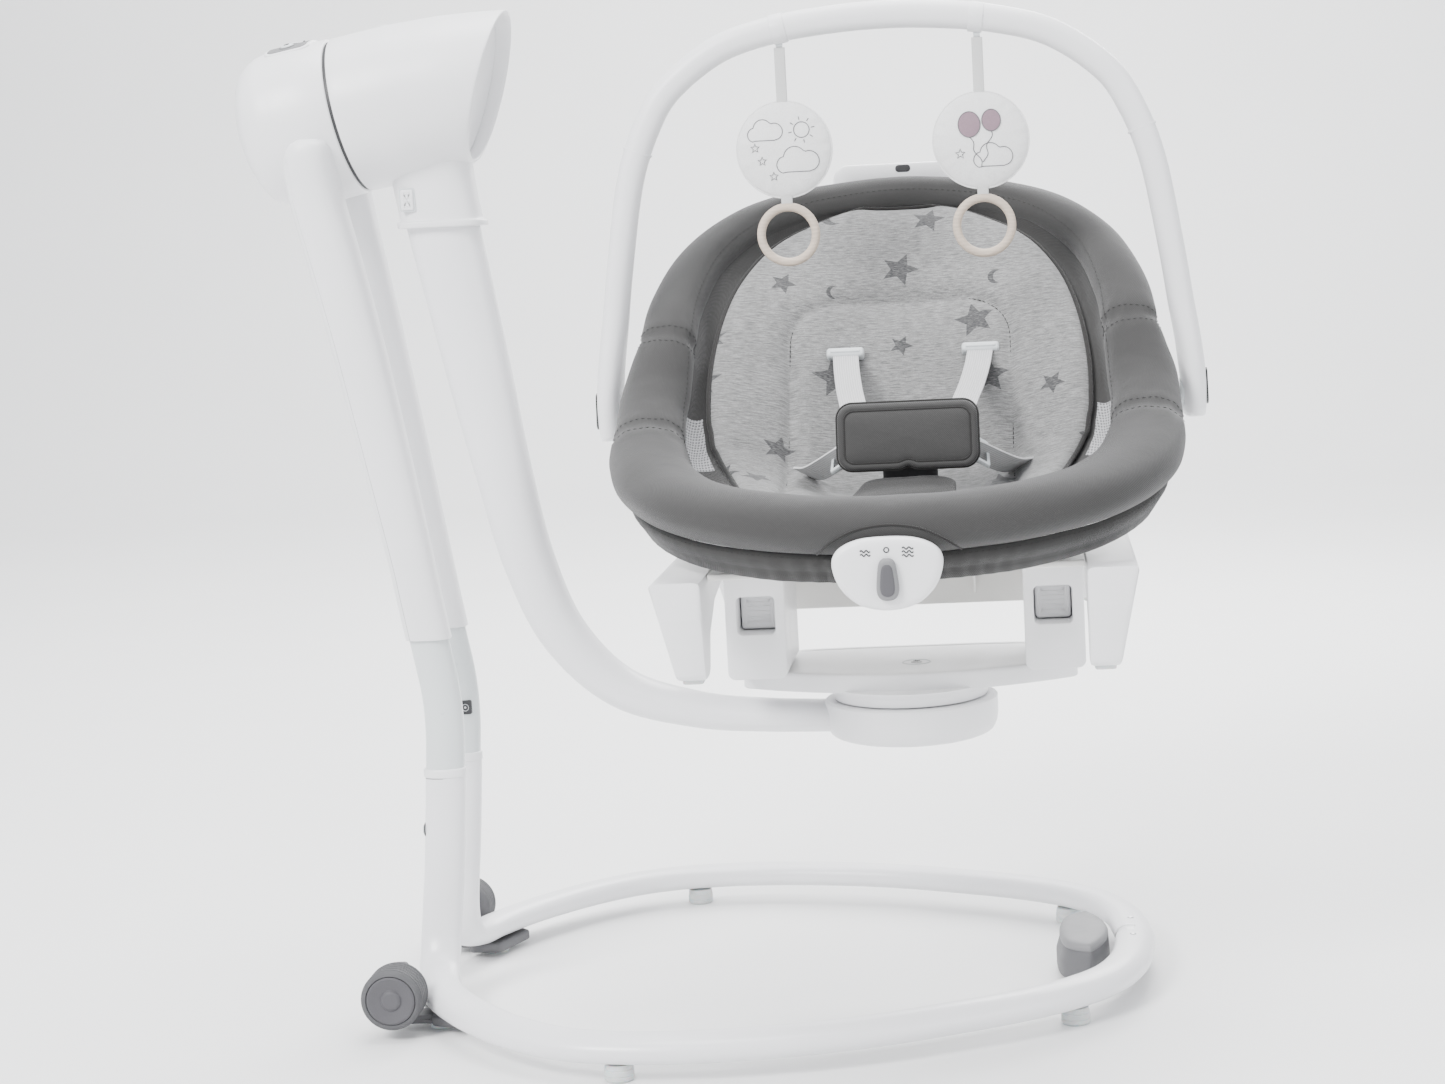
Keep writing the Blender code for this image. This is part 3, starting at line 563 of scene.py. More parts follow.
def plush(name, color):
    look = Look(name, color, 0.95, Sheen_Weight=0.5, Sheen_Roughness=0.35,
                Specular_IOR_Level=0.15)
    where = look.place()
    pile = look.noise(where, 700.0, 3.0, 0.7)
    look.paint(look.shades(pile, color, 0.93, 1.03))
    look.bump(pile, 0.0007, 0.6)
    look.bump(look.noise(where, 60.0, 2.0), 0.002, 0.25)
    return look.mat


HOLE_PITCH = 0.0034                                # metres


def netting(name, color):
    """Knitted air mesh: rows of small holes, their bottoms darkened with painted shade."""
    look = Look(name, color, 0.85, Sheen_Weight=0.2)
    where = look.place(True)
    holes = look.tree.nodes.new("ShaderNodeTexVoronoi")
    holes.voronoi_dimensions = "2D"
    holes.inputs["Scale"].default_value = 1 / HOLE_PITCH
    holes.inputs["Randomness"].default_value = 0.12
    look.link(where, holes.inputs["Vector"])
    # Painted shade: the bottoms of the holes are darkened to about a third of the mesh colour.
    look.paint(look.mix(look.span(holes.outputs["Distance"], 0, 1, 0.22, 0.42),
                        shade(color, 0.35), color))
    look.bump(look.span(holes.outputs["Distance"], 0, 1, 0.2, 0.45), 0.0008, 0.8)
    return look.mat


def sanded_wood(name, color):
    look = Look(name, color, 0.55, Specular_IOR_Level=0.35)
    grain = look.noise(look.place(scale=(1, 1, 9)), 60.0, 5.0, 0.6, 0.8)
    rings = look.waves(look.place(scale=(1, 0.2, 1)), 0.0035, "Z", 3.0)
    tone = look.shades(grain, color, 0.82, 1.06)
    look.paint(look.mix(look.span(rings, 0, 0.35, 0.2, 0.9), tone, shade(color, 0.72)))
    look.roughen(look.span(grain, 0.48, 0.66))
    look.bump(grain, 0.0002, 0.5)
    return look.mat


WHITE = moulded("white_moulding", (0.80, 0.80, 0.81), 0.36, 0.00007)
WHITE_TUBE = powder("white_powder_coat", (0.80, 0.80, 0.815))
PALE_TUBE = powder("pale_grey_powder_coat", (0.62, 0.655, 0.66), 0.32)
PALE = moulded("pale_grey_moulding", (0.60, 0.63, 0.64), 0.45, 0.0001)
# The cream is set lighter than the white mouldings: painted light that makes up for the shade the
# chassis sits in under the seat.
CREAM_WITH_PAINTED_LIGHT = moulded("cream_moulding_painted_light", (0.85, 0.84, 0.81), 0.5, 0.00012)
GREY = moulded("mid_grey_moulding", (0.102, 0.102, 0.107), 0.5, 0.0002, 0.05, 0.08)
SOFT_GREY = moulded("soft_grey_moulding", (0.19, 0.19, 0.195), 0.55, 0.0002, 0.04, 0.06)
DARK = moulded("dark_grey_moulding", (0.03, 0.03, 0.032), 0.5, 0.00016, 0.05, 0.1)
SLATE = moulded("slate_moulding", (0.075, 0.073, 0.08), 0.55, 0.0002, 0.03, 0.08)
RED = moulded("red_button", (0.42, 0.035, 0.03), 0.4, 0.0001)
STEEL = brushed("bright_steel")
TREAD = rubber("wheel_rubber", (0.08, 0.08, 0.084))
FOOT = rubber("foot_rubber", (0.56, 0.59, 0.59), 0.5, 0.35)
CHARCOAL = twill("charcoal_twill", (0.061, 0.060, 0.059), sheen=0.25)
CHARCOAL_SLING = twill("charcoal_lining", (0.053, 0.052, 0.051), uv=False)
CHARCOAL_DARK = twill("charcoal_skirt", (0.053, 0.052, 0.051), 0.0013, 0.1, 0.2)
THREAD_DARK = twill("dark_thread", (0.035, 0.034, 0.033), 0.0007, 0.05, 0.1, uv=False)
PIPING = twill("dark_piping", (0.032, 0.031, 0.030), 0.0009, 0.05, 0.2, uv=False)
INSERT = jersey("melange_jersey", (0.215, 0.215, 0.213), (0.040, 0.040, 0.042))
WEB = webbing("grey_webbing", (0.55, 0.55, 0.555))
PLUSH = plush("white_plush", (0.80, 0.80, 0.795))
THREAD = twill("grey_thread", (0.20, 0.20, 0.21), 0.0007, 0.05, 0.1, uv=False)
MAUVE = twill("mauve_felt", (0.36, 0.25, 0.30), 0.0008, 0.15, 0.4, uv=False)
RIBBON = twill("white_ribbon", (0.82, 0.82, 0.81), 0.0009, 0.05, 0.3, uv=False)
NET = netting("grey_air_mesh", (0.40, 0.40, 0.41))
WOOD = sanded_wood("pale_wood", (0.56, 0.47, 0.385))
LENS = Look("smoked_lens", (0.02, 0.02, 0.022), 0.12, Coat_Weight=0.6).mat


# ---------------------------------------------------------------- stand: floor loop and legs
LEG_X, LEG_Y, LEG_TOP = -275.0, 35.0, 209.0
LOOP_Z = 27.0
LEG_PATH = [(LEG_X, LEG_Y, LEG_TOP), (LEG_X, LEG_Y, LEG_TOP - 5), (-278, 35, 165), (-282, 35, 120),
            (-286, 36, 84), (-288, 42, 56), (-287, 58, 36), (-281, 84, 28)]
LOOP_PATH = [(-271, 112, LOOP_Z), (-254, 143, LOOP_Z), (-228, 180, LOOP_Z),
             (-191, 221, LOOP_Z), (-144, 256, LOOP_Z), (-90, 273, LOOP_Z),
             (-21, 276, LOOP_Z), (58, 265, LOOP_Z), (125, 246, LOOP_Z),
             (190, 218, LOOP_Z), (245, 190, LOOP_Z), (287, 160, LOOP_Z),
             (320, 122, LOOP_Z), (340, 70, LOOP_Z), (347.5, 9, LOOP_Z), (347.5, 0.6, LOOP_Z)]
SIDES = (("front", -1), ("rear", 1))


def floor_loop():
    for side, s in SIDES:
        path = [at(x, s * y, z) for x, y, z in spline(LEG_PATH + LOOP_PATH, 8)]
        section = oval(18.5, 12.0, 40, 2.15)
        ends = [[(u * k, v * k) for u, v in section] for k in (0.93, 0.985)]
        sections = ends + [section] * (len(path) - 4) + [ends[1], ends[0]]
        tube = sweep(f"loop_{side}", path, X, sections, WHITE_TUBE, "stand")
        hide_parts(f"base_{side}_tube")

        # the snap button in its hole
        lathe(f"button_rim_{side}", [(0, 5.5), (0.5, 6.9), (0.9, 6.7), (1.0, 5.6), (0, 5.5)],
              at(LEG_X - 21.0, s * LEG_Y, 160), -X, DARK, "stand", 32)
        cap = fillet([(-14, 0), (-14, 4.9), (3.0, 4.9), (3.6, 0)], 1.6)
        snap = lathe(f"snap_button_{side}", cap, at(LEG_X - 20.5, s * LEG_Y, 160), -X, PALE,
                     f"leg_button_{side}", 32)
        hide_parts(f"leg_button_{side}")

        ribbed = fillet([(0, 0), (0, 11.2), (1.6, 12.6), (4.4, 12.6), (5.0, 11.9), (5.6, 12.6),
                         (9.6, 12.4), (10.2, 11.7), (10.8, 12.2), (14.6, 11.4), (14.6, 0)], 0.5, 3)
        for tag, (x, y) in (("left", (-90, 273)), ("right", (289, 158))):
            foot = lathe(f"foot_{side}_{tag}_rubber", ribbed, at(x, s * y, 0), Z, FOOT, "stand",
                         48)
            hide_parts(f"foot_{side}_{tag}")

        # joint line where the two halves of the loop meet, and a rivet beside it
        lathe(f"loop_rivet_{side}", fillet([(0, 0), (0, 3.4), (1.2, 2.4), (1.5, 0)], 0.8),
              at(345, s * 27, LOOP_Z + 11.6), Z, STEEL, "stand", 20)
    sleeve = [at(347.5, y, LOOP_Z) for y in (-3.0, 3.0)]
    sweep("loop_joint", sleeve, X, oval(17.6, 11.2, 40), DARK, "stand")


TIP_X = 324.0                                      # the loop's inner side at its tip


def tip_block():
    """Two-tone stop block inside the tip of the loop."""
    edge = [(279, -36), (275, 0), (279, 36), (290, 52), (303, 58)]
    edge += [(TIP_X - 17 * (y / 56) ** 2, y) for y in (54, 38, 19, 0, -19, -38, -54)]
    edge += [(303, -58), (290, -52)]
    edge = [tuple(p) for p in spline(edge, 5, closed=True)]

    def place(u, v, h):
        k = 1.0 if h < 20 else 0.945
        return at(k * (u - TIP_X) + TIP_X, v, h)

    body = plaque("tip_block_body", edge, place,
                  [(2.0, 3.2), (0.4, 4.4), (0, 7), (0, 19), (0.6, 29), (1.6, 31.6)], GREY, "stand")
    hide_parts("base_tip_block")
    plaque("tip_block_top", edge, place,
           [(1.2, 31.8), (0.7, 32.4), (0.8, 35.2), (2.0, 37.6), (4.4, 38.9), (9, 39.4),
            (20, 39.6)], SOFT_GREY, "stand", 60)
    for s in (-1, 1):
        plaque(f"tip_block_pad_{'front' if s < 0 else 'rear'}", oval(9, 6, 24),
               lambda u, v, h: at(298 + u, s * 34 + v, 3.4 - h),
               [(0, 0), (0, 2.6), (0.8, 3.3)], FOOT, "stand")


# ---------------------------------------------------------------- stand: wheels
WHEEL_X, WHEEL_Z, WHEEL_R, WHEEL_IN, WHEEL_OUT = -307.0, 38.0, 27.0, 131.0, 164.0


def wheels():
    for side, s in SIDES:
        body = f"wheel_{side}"
        axle = at(WHEEL_X, 0, WHEEL_Z)
        w0, w1, r = WHEEL_IN, WHEEL_OUT, WHEEL_R
        tread = [(w0, 20), (w0, 24.4), (w0 + 1.6, r - 0.6)]
        for k in range(5):
            a = w0 + 4.5 + k * 5.2
            tread += [(a, r), (a + 1.6, r), (a + 2.0, r - 0.9), (a + 2.9, r - 0.9), (a + 3.3, r)]
        tread += [(w1 - 2.6, r - 0.4), (w1 - 0.6, r - 2.6), (w1 - 0.4, 22.4), (w1 - 2.4, 21.4),
                  (w1 - 2.4, 20)]
        tyre = lathe(f"tyre_{side}", tread, axle, Y * s, TREAD, body, 72, ring=True)
        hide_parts(f"wheel_{side}")
        face = fillet([(w0, 5.5), (w0, 20.4), (w1 - 2.2, 20.4), (w1 - 1.0, 21.8), (w1 - 0.2, 19.6),
                       (w1 - 1.6, 15), (w1 - 2.6, 9.5), (w1 - 1.2, 8.4), (w1 - 0.3, 6.4),
                       (w1 - 0.3, 0)], 0.7, 3)
        lathe(f"wheel_face_{side}", face, axle, Y * s, SLATE, body, 64)


def wheel_housings():
    for side, s in SIDES:
        arm = [(-262, 6), (-262, 13), (-266, 14.2), (-296, 14.2), (-300, 20), (-300, 50),
               (-304, 57.5), (-314, 57.5), (-322, 51), (-325, 40), (-323, 24), (-314, 10),
               (-304, 6)]
        arm = fillet(arm, 4.0, 5, closed=True)
        plate = plaque(f"housing_arm_{side}", arm, lambda u, v, h: at(u, s * h, v),
                       [(1.4, 106.4), (0.3, 107.2), (0, 109), (0, 127.4), (0.3, 129), (1.4, 129.8),
                        (4.5, 129.8)], GREY, "stand", fan=False)
        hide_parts(f"wheel_housing_{side}")
        pad = fillet([(-296, 92), (-262, 90), (-243, 138), (-250, 146), (-278, 134)], 5.0, 5, True)
        plaque(f"housing_pad_{side}", pad, lambda u, v, h: at(u, s * v, h),
               [(1.2, 5.2), (0.2, 6.0), (0, 7), (0, 12.4), (0.6, 13.6), (1.8, 14.2), (5, 14.3)],
               GREY, "stand")
        lathe(f"housing_foot_{side}", fillet([(0, 0), (0, 11.5), (1.4, 12.4), (8, 12.4), (8, 0)],
                                             0.8, 3), at(-272, s * 116, 0), Z, FOOT, "stand", 40)
        lathe(f"axle_{side}", [(112, 0), (112, 4.9), (156, 4.9), (156, 0)],
              at(WHEEL_X, 0, WHEEL_Z), Y * s, STEEL, "stand", 24)


# ---------------------------------------------------------------- stand: uprights and covers
TUBE_CENTRE = [(211.2, -275, 35), (250, -272.5, 35), (285, -273.5, 35), (325, -279.5, 35),
               (370, -287, 35), (411, -293, 35), (500, -308, 36), (600, -325, 39),
               (680, -340, 44), (710, -345.5, 47)]
# z, x, y, half width, half depth of each leg cover
COVER = [(337, -281.5, 35, 20.6, 14.6), (375, -287.5, 35, 20.6, 14.8),
         (411, -293, 35, 20.8, 15.2), (500, -308, 36, 22.5, 17), (600, -325, 39, 23.5, 19),
         (680, -340, 44, 24, 21), (735, -350, 50, 23.5, 24), (765, -352, 57, 22, 24),
         (781, -350, 61, 18, 20), (787, -349, 62, 11, 13)]
COVER_ROUND, COVER_SEAM = 64, 40                   # points round it, and the one with the seam
INLET_X, INLET_Z = -265.7, 261


def uprights():
    for side, s in SIDES:
        path = [at(*p) for p in spline([(x, s * y, z) for z, x, y in TUBE_CENTRE], 6)]
        tube = sweep(f"upright_{side}", path, X, oval(17.7, 11.6, 40, 2.1), PALE_TUBE, "stand")
        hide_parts(f"upright_tube_{side}")

        rows = [(209.4, 19.0, 12.6), (209.9, 19.6, 13.2), (215.6, 19.6, 13.2), (216.6, 19.2, 12.8),
                (217.4, 18.2, 12.0)]
        rings = [[at(LEG_X + u, s * LEG_Y + v, z) for u, v in oval(a, b, 40, 2.1)]
                 for z, a, b in rows]
        build(f"leg_ring_{side}", *skin(rings), WHITE, "stand")

        rows = spline(COVER, 8)
        rings = []
        for z, x, y, a, b in rows:
            ring = []
            for i, (u, v) in enumerate(oval(a, b, COVER_ROUND, 2.6)):
                crease = math.exp(-((i - COVER_SEAM) / 0.6) ** 2) if z < 770 else 0
                k = 1 - 0.07 * crease
                ring.append(at(x + u * k, s * (y - v * k), z))
            rings.append(ring)
        z, x, y, a, b = COVER[0]
        lip = [[at(x + u, s * (y - v), z + up) for u, v in oval(a - d, b - d, COVER_ROUND, 2.6)]
               for d, up in ((2.6, 7.0), (2.3, 0.8), (1.4, -0.5), (0.5, -0.3))]
        cover = build(f"leg_cover_{side}", *skin(lip + rings), WHITE, "stand")
        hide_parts(f"upright_cover_{side}")
        seam = [ring[COVER_SEAM] for ring, row in zip(rings, rows) if row[0] < 740]
        rod(f"leg_cover_seam_{side}", seam, 0.5, SOFT_GREY, "stand", 6)

    # power inlet: a bezel, the socket and its pin
    place = lambda u, v, h: at(INLET_X + u, 25.4 - h, INLET_Z + v)
    bezel = plaque("inlet_bezel", rounded(5.6, 6.6, 1.6), place,
                   [(0, -3), (0, 2.2), (0.4, 2.9), (1.4, 3.0)], DARK, "stand")
    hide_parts("dc_inlet")
    lathe("inlet_hole", [(0, 3.4), (0.5, 3.5), (0.6, 2.9), (-3, 2.7), (-3, 1.0), (0.2, 1.0),
                         (0.6, 0.5), (0.6, 0)], place(0, 0, 2.8), -Y, STEEL, "stand", 32)


# ---------------------------------------------------------------- head: fixed half
SPLIT, DRUM_R, DRUM_END = 1.5, 71, -98.0           # half gap, radius, closed end along the axis


def drum():
    end = DRUM_END
    dome = spline([(end, 0), (end + 0.6, 12), (end + 5, 39), (end + 14, 58), (end + 29, 68),
                   (end + 48, DRUM_R)], 7)
    dome = [(max(a, end), max(r, 0.0)) for a, r in dome]
    profile = [(end, 0)] + dome[1:] + [(-30, DRUM_R), (-SPLIT - 1.8, 69.7), (-SPLIT - 0.6, 69.1),
                                       (-SPLIT, 68.2), (-SPLIT, 9.6), (-6, 9.6), (-6, 64),
                                       (end + 31, 62), (end + 8, 20), (end + 4, 0)]
    shell = lathe("drum_shell", profile, HEAD, AX, WHITE, "stand", 128)
    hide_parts("motor_housing")
    # A dark ring behind the split between drum and hub: painted shade filling the gap.
    lathe("drum_gap_shade", [(-6, 64), (-6, 67.2), (6, 67.2), (6, 64)], HEAD, AX, DARK, "stand", 96,
          ring=True)


PANEL_AT, KEYS_AT = -35.5, -36                     # middles of the panel and keys along the axis


def on_drum(u, v, h):
    """Place for plaques that lie on the top of the drum: u round it, v along it."""
    t = u / DRUM_R
    return head(PANEL_AT + v, (DRUM_R + h) * math.cos(t), (DRUM_R + h) * math.sin(t))


def dense(points, step=2.5):
    """The outline with long straight runs cut up, so that it can be bent."""
    out = []
    for a, b in zip(points, points[1:] + points[:1]):
        a, b = Vector(a), Vector(b)
        n = max(1, round((b - a).length / step))
        out += [tuple(a.lerp(b, k / n)) for k in range(n)]
    return out


def control_panel():
    plaque("panel_surround", dense(rounded(33.0, 21.4, 9.0)), on_drum,
           [(0, -2), (0, 0.1), (0.5, 0.9), (1.6, 1.2), (3.0, 0.9)], WHITE, "stand", 60)
    face = plaque("panel_face", dense(rounded(30.0, 18.4, 7.0)), on_drum,
                  [(0, -2), (0, 0.9), (0.3, 1.35), (1.2, 1.5)], SOFT_GREY, "stand", 60)
    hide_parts("control_panel")
    for name, deg in (("power", -15), ("sound", 0), ("timer", 15)):
        t = math.radians(deg)
        out = UP * math.cos(t) + Y * math.sin(t)
        foot = head(KEYS_AT, 0)
        cap = fillet([(66.5, 0), (66.5, 5.9), (73.3, 5.9), (74.3, 4.2), (74.0, 0)], 0.8, 4)
        button = lathe(f"key_{name}", cap, foot, out, PALE, f"button_{name}", 40)
        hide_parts(f"button_{name}")
        lathe(f"key_rim_{name}", [(71.9, 6.3), (72.9, 6.4), (73.0, 7.2), (72.4, 7.6), (71.9, 7.6)],
              foot, out, SOFT_GREY, "stand", 40, ring=True)
        around = out.cross(AX).normalized()
        top = foot + out * 74.35 * MM
        whole = name != "power"                    # the power mark is a ring with a gap
        ring = [top + (around * math.cos(a) + AX * math.sin(a)) * 2.4 * MM
                for a in (math.radians(120 + (360 if whole else 300) * k / 24)
                          for k in range(24 if whole else 25))]
        rod(f"key_mark_{name}", ring, 0.22, DARK, f"button_{name}", 6, closed=whole, tilt=out)
        hand = [top, top + AX * 2.1 * MM]
        rod(f"key_hand_{name}", hand, 0.22, DARK, f"button_{name}", 6, tilt=out)
    for k in range(3):
        spot = head(-22.5, 72.6, -8 + 8 * k)
        lathe(f"panel_light_{k}", [(-0.6, 0), (-0.6, 1.1), (0.2, 1.0), (0.35, 0)], spot, UP, LENS,
              "stand", 16)


# ---------------------------------------------------------------- head: swinging half
OUT = [(SPLIT, 69.2), (50, 69.4), (98, 66.5), (130, 62.5), (176, 55)]
RIM_TOP, RIM_BOTTOM = Vector((160.0, 56.8)), Vector((98.6, -66.0))   # (along, up)
RIM_MIDDLE = (RIM_TOP + RIM_BOTTOM) / 2
SLANT = (RIM_TOP - RIM_BOTTOM).normalized()
FACE = Vector((SLANT.y, -SLANT.x))


def shell_radius(along):
    rows = np.array(OUT)
    return float(np.interp(along, rows[:, 0], rows[:, 1]))


def slanted(t, back, drop):
    """The point at angle t where the wall, `drop` inside the outer one, meets the rim's plane.

    `back` is how far behind the rim's plane the point lies.
    """
    along = 120.0
    for _ in range(30):
        r = shell_radius(along) - drop
        # (along, r cos t) has to lie on the plane through RIM_MIDDLE - back * FACE
        along = RIM_MIDDLE.x + (-back - (r * math.cos(t) - RIM_MIDDLE.y) * FACE.y) / FACE.x
    return along, shell_radius(along) - drop


def hub_shell():
    n = 128
    walls = []
    for t in turns(n):
        column = [(SPLIT, 9.6), (SPLIT, 68.0), (SPLIT + 0.5, 68.8), (SPLIT + 1.6, 69.25)]
        column += [(a, shell_radius(a))
                   for a in np.linspace(SPLIT + 1.6, slanted(t, 3.0, 0)[0], 17)[1:]]
        column += [slanted(t, b, d) for b, d in ((1.2, 0.05), (0.35, 0.5), (0, 1.4), (0.1, 2.4),
                                                 (0.9, 3.1), (3, 3.4), (9, 3.5), (18, 3.6))]
        column += [(SPLIT + 5, 64), (SPLIT + 5, 9.6)]
        walls.append([head(a, r * math.cos(t), r * math.sin(t)) for a, r in column])
    shell = build("hub_shell", *skin(walls, closed=True), WHITE, "swing_arm")
    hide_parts("swing_hub_shell")

    lathe("hub_pip", fillet([(-0.8, 0), (-0.8, 4.6), (0.9, 4.6), (1.3, 0)], 0.8, 4),
          head(47, 69.4), UP, WHITE, "swing_arm", 32)

    rings = []
    for back, share in [(16.0, 1.0), (13.6, 1.0), (13.0, 0.985)] + [
            (13.0 + 2.2 * (1 - (k / 8) ** 2), k / 8 * 0.97) for k in range(8, 0, -1)]:
        middle = (RIM_MIDDLE - FACE * back).to_3d()
        ring = []
        for t in turns(n):
            a, r = slanted(t, back, 4.1)
            p = Vector((a, r * math.cos(t), r * math.sin(t)))
            ring.append(head(*middle.lerp(p, share)))
        rings.append(ring)
    cap = build("hub_cap", *skin(rings), WHITE, "swing_arm")
    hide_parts("hub_end_cap")


BUTTON_X, BUTTON_Z = -275, 731                     # middle of the arm's release button


def socket_centre(z):
    return -250.0 - 0.1466 * (z - 706)


def arm_socket():
    rows = [(705.7, 37.6, 28.4), (706.0, 39.0, 29.6), (706.8, 39.8, 30.3), (710.2, 39.8, 30.3),
            (711.2, 39.2, 29.8), (711.8, 37.6, 28.4), (713.0, 36.6, 27.5), (720, 36.3, 27.3),
            (740, 36.4, 27.6), (756, 37.0, 29.0), (764, 38.0, 31.0)]
    rings = [[at(socket_centre(z) + u, v, z) for u, v in oval(a, b, 72, 2.8)]
             for z, a, b in spline(rows, 3)]
    build("arm_socket", *skin(rings), WHITE, "swing_arm")

    place = lambda u, v, h: at(BUTTON_X + u, -27.2 - h, BUTTON_Z + v)
    plaque("button_frame", rounded(7.2, 10.6, 2.2), place,
           [(0, -1.5), (0, 0.15), (0.4, 0.3), (1.0, 0.2)], PALE, "swing_arm")
    press = plaque("release_button", rounded(5.6, 9.1, 1.6), place,
                   [(0, -2), (0, 1.0), (0.5, 1.55), (1.6, 1.7), (2.8, 1.35)], WHITE, "arm_button")
    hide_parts("arm_release_button")
    for k in range(4):
        rib = [place(u, 3.6 * k - 5.5, 1.5) for u in (-3, 3)]
        rod(f"release_rib_{k}", rib, 0.45, WHITE, "arm_button", 8, tilt=Y)


# ---------------------------------------------------------------- swing arm and turntable
ARM = [(-256.7, 752, 32.4, 23), (-250, 706, 32.4, 23), (-238, 640, 31, 23),
       (-225, 566, 29, 23), (-209, 478, 25.5, 23), (-192, 400, 23.5, 23.5),
       (-164, 331, 21.5, 24), (-114, 279, 18.5, 25), (-45, 256, 16, 26), (20, 248.5, 14.5, 28),
       (92, 245.5, 13.5, 30)]
HUB_R, HUB_LOW, HUB_TOP, PLATE_LOW, PLATE_TOP = 79.0, 225.0, 262.0, 275.0, 292.0


def swing_arm():
    rows = spline(ARM, 8)
    path = [at(x, 0, z) for x, z, a, b in rows]
    sections = [oval(a, b, 48, 2.3) for x, z, a, b in rows]
    arm = sweep("arm", path, X, sections, WHITE_TUBE, "swing_arm")
    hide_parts("swing_arm_tube")


def turntable():
    hub = at(SEAT_X, 0, 0)
    low = spline([(HUB_LOW, 0.0), (HUB_LOW + 0.2, 50), (HUB_LOW + 4, 71), (HUB_LOW + 11, 77),
                  (HUB_LOW + 20, HUB_R)], 5)
    low = [(HUB_LOW, 0)] + [(a, r) for a, r in low if r > 1]
    profile = low + fillet([(HUB_TOP - 10, HUB_R), (HUB_TOP - 1.2, HUB_R), (HUB_TOP, HUB_R - 2.4),
                            (HUB_TOP, 66), (HUB_TOP, 0)], 1.2, 4)
    base = lathe("turntable_hub", profile, hub, Z, WHITE, "swing_arm", 128)
    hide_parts("turntable_base")
    for k in range(4):
        t = math.radians(45 + 90 * k)
        spot = at(SEAT_X + 52 * math.cos(t), 52 * math.sin(t), HUB_LOW + 0.9)
        lathe(f"hub_screw_{k}", [(0, 0), (-0.6, 0), (-0.6, 1.2), (0.2, 1.6), (0.7, 3.6), (0.2, 4.6),
                                 (-1.2, 4.8)], spot, -Z, STEEL, "swing_arm", 24)

    front = [(x, -58 + 50 * (x / 150) ** 2) for x in range(-150, 151, 15)]
    edge = front + [(153, 0), (148, 14), (122, 84), (112, 93), (100, 97), (60, 99), (-60, 99),
                    (-100, 97), (-112, 93), (-122, 84), (-148, 14), (-153, 0)]
    edge = fillet(edge, 7.0, 4, closed=True)
    top = [(0.9, PLATE_LOW), (0, PLATE_LOW + 0.9), (0, PLATE_TOP - 4.2), (0.5, PLATE_TOP - 1.9),
           (1.7, PLATE_TOP - 0.6), (3.6, PLATE_TOP), (9.0, PLATE_TOP), (9.8, PLATE_TOP - 0.7),
           (11.5, PLATE_TOP - 0.8)]
    plate = plaque("seat_plate", edge, lambda u, v, h: seat(u, v, h), top, WHITE, "turntable", 40)
    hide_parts("turntable_plate")
    boss = fillet([(HUB_TOP - 18, 0), (HUB_TOP - 18, 14.3), (HUB_TOP + 1.2, 14.3),
                   (HUB_TOP + 1.2, 70), (HUB_TOP + 9, 72), (PLATE_LOW + 2, 78),
                   (PLATE_LOW + 2, 0)], 1.4, 4)
    lathe("plate_boss", boss, hub, Z, WHITE, "turntable", 96)
    screw = at(158, 6, PLATE_TOP - 0.8)
    lathe("plate_dimple", [(0.1, 13.4), (0.55, 12.8), (0.55, 12.2), (-0.4, 11.4), (-1.6, 9.2),
                           (-2.6, 0)], screw, Z, PALE, "turntable", 48)
    lathe("plate_screw", fillet([(-2.4, 0), (-2.4, 5.4), (0.6, 5.2), (1.2, 3.4), (0.9, 0)], 0.8, 4),
          screw, Z, STEEL, "turntable", 32)
    # Two dark bars across the screw head stand for its cross recess: painted shade in the slots.
    for k in range(2):
        a = math.radians(90 * k + 20)
        d = (X * math.cos(a) + Y * math.sin(a)) * 3.2 * MM
        spot = screw + Z * 1.0 * MM
        rod(f"plate_screw_slot_shade_{k}", [spot - d, spot + d], 0.55, DARK, "turntable", 6, tilt=Z)


# ---------------------------------------------------------------- seat: rockers, brackets, chassis
RUNNER = [(-219, 404), (-216, 372), (-203, 322), (-198, 318), (-177, 318), (-170, 324),
          (-160, 350), (-120, 372), (-60, 381), (0, 383), (60, 381), (120, 372), (160, 350),
          (170, 324), (177, 318), (198, 318), (203, 322), (216, 372), (219, 404)]
RAIL_IN, RAIL_WIDE, RAIL_LOW = 160, 26, 318        # inner side, width at the feet, feet
BRACKET_X, LEVER_X = 132.7, 132


def window_frame(name, outer, inner, place, near, far, mat, body, soft=1.6):
    """A thick plate with a hole: both outlines have the same number of points."""
    rings = []
    for d, h in ((soft, near), (soft * 0.3, near + soft * 0.3), (0, near + soft), (0, far - soft),
                 (soft * 0.3, far - soft * 0.3), (soft, far)):
        rings.append([place(u, v, h) for u, v in inset(outer, d)])
    for d, h in ((-soft, far), (-soft * 0.3, far - soft * 0.3), (0, far - soft), (0, near + soft),
                 (-soft * 0.3, near + soft * 0.3), (-soft, near)):
        rings.append([place(u, v, h) for u, v in inset(inner, d)])
    return build(name, *skin(rings, closed=True), mat, body)


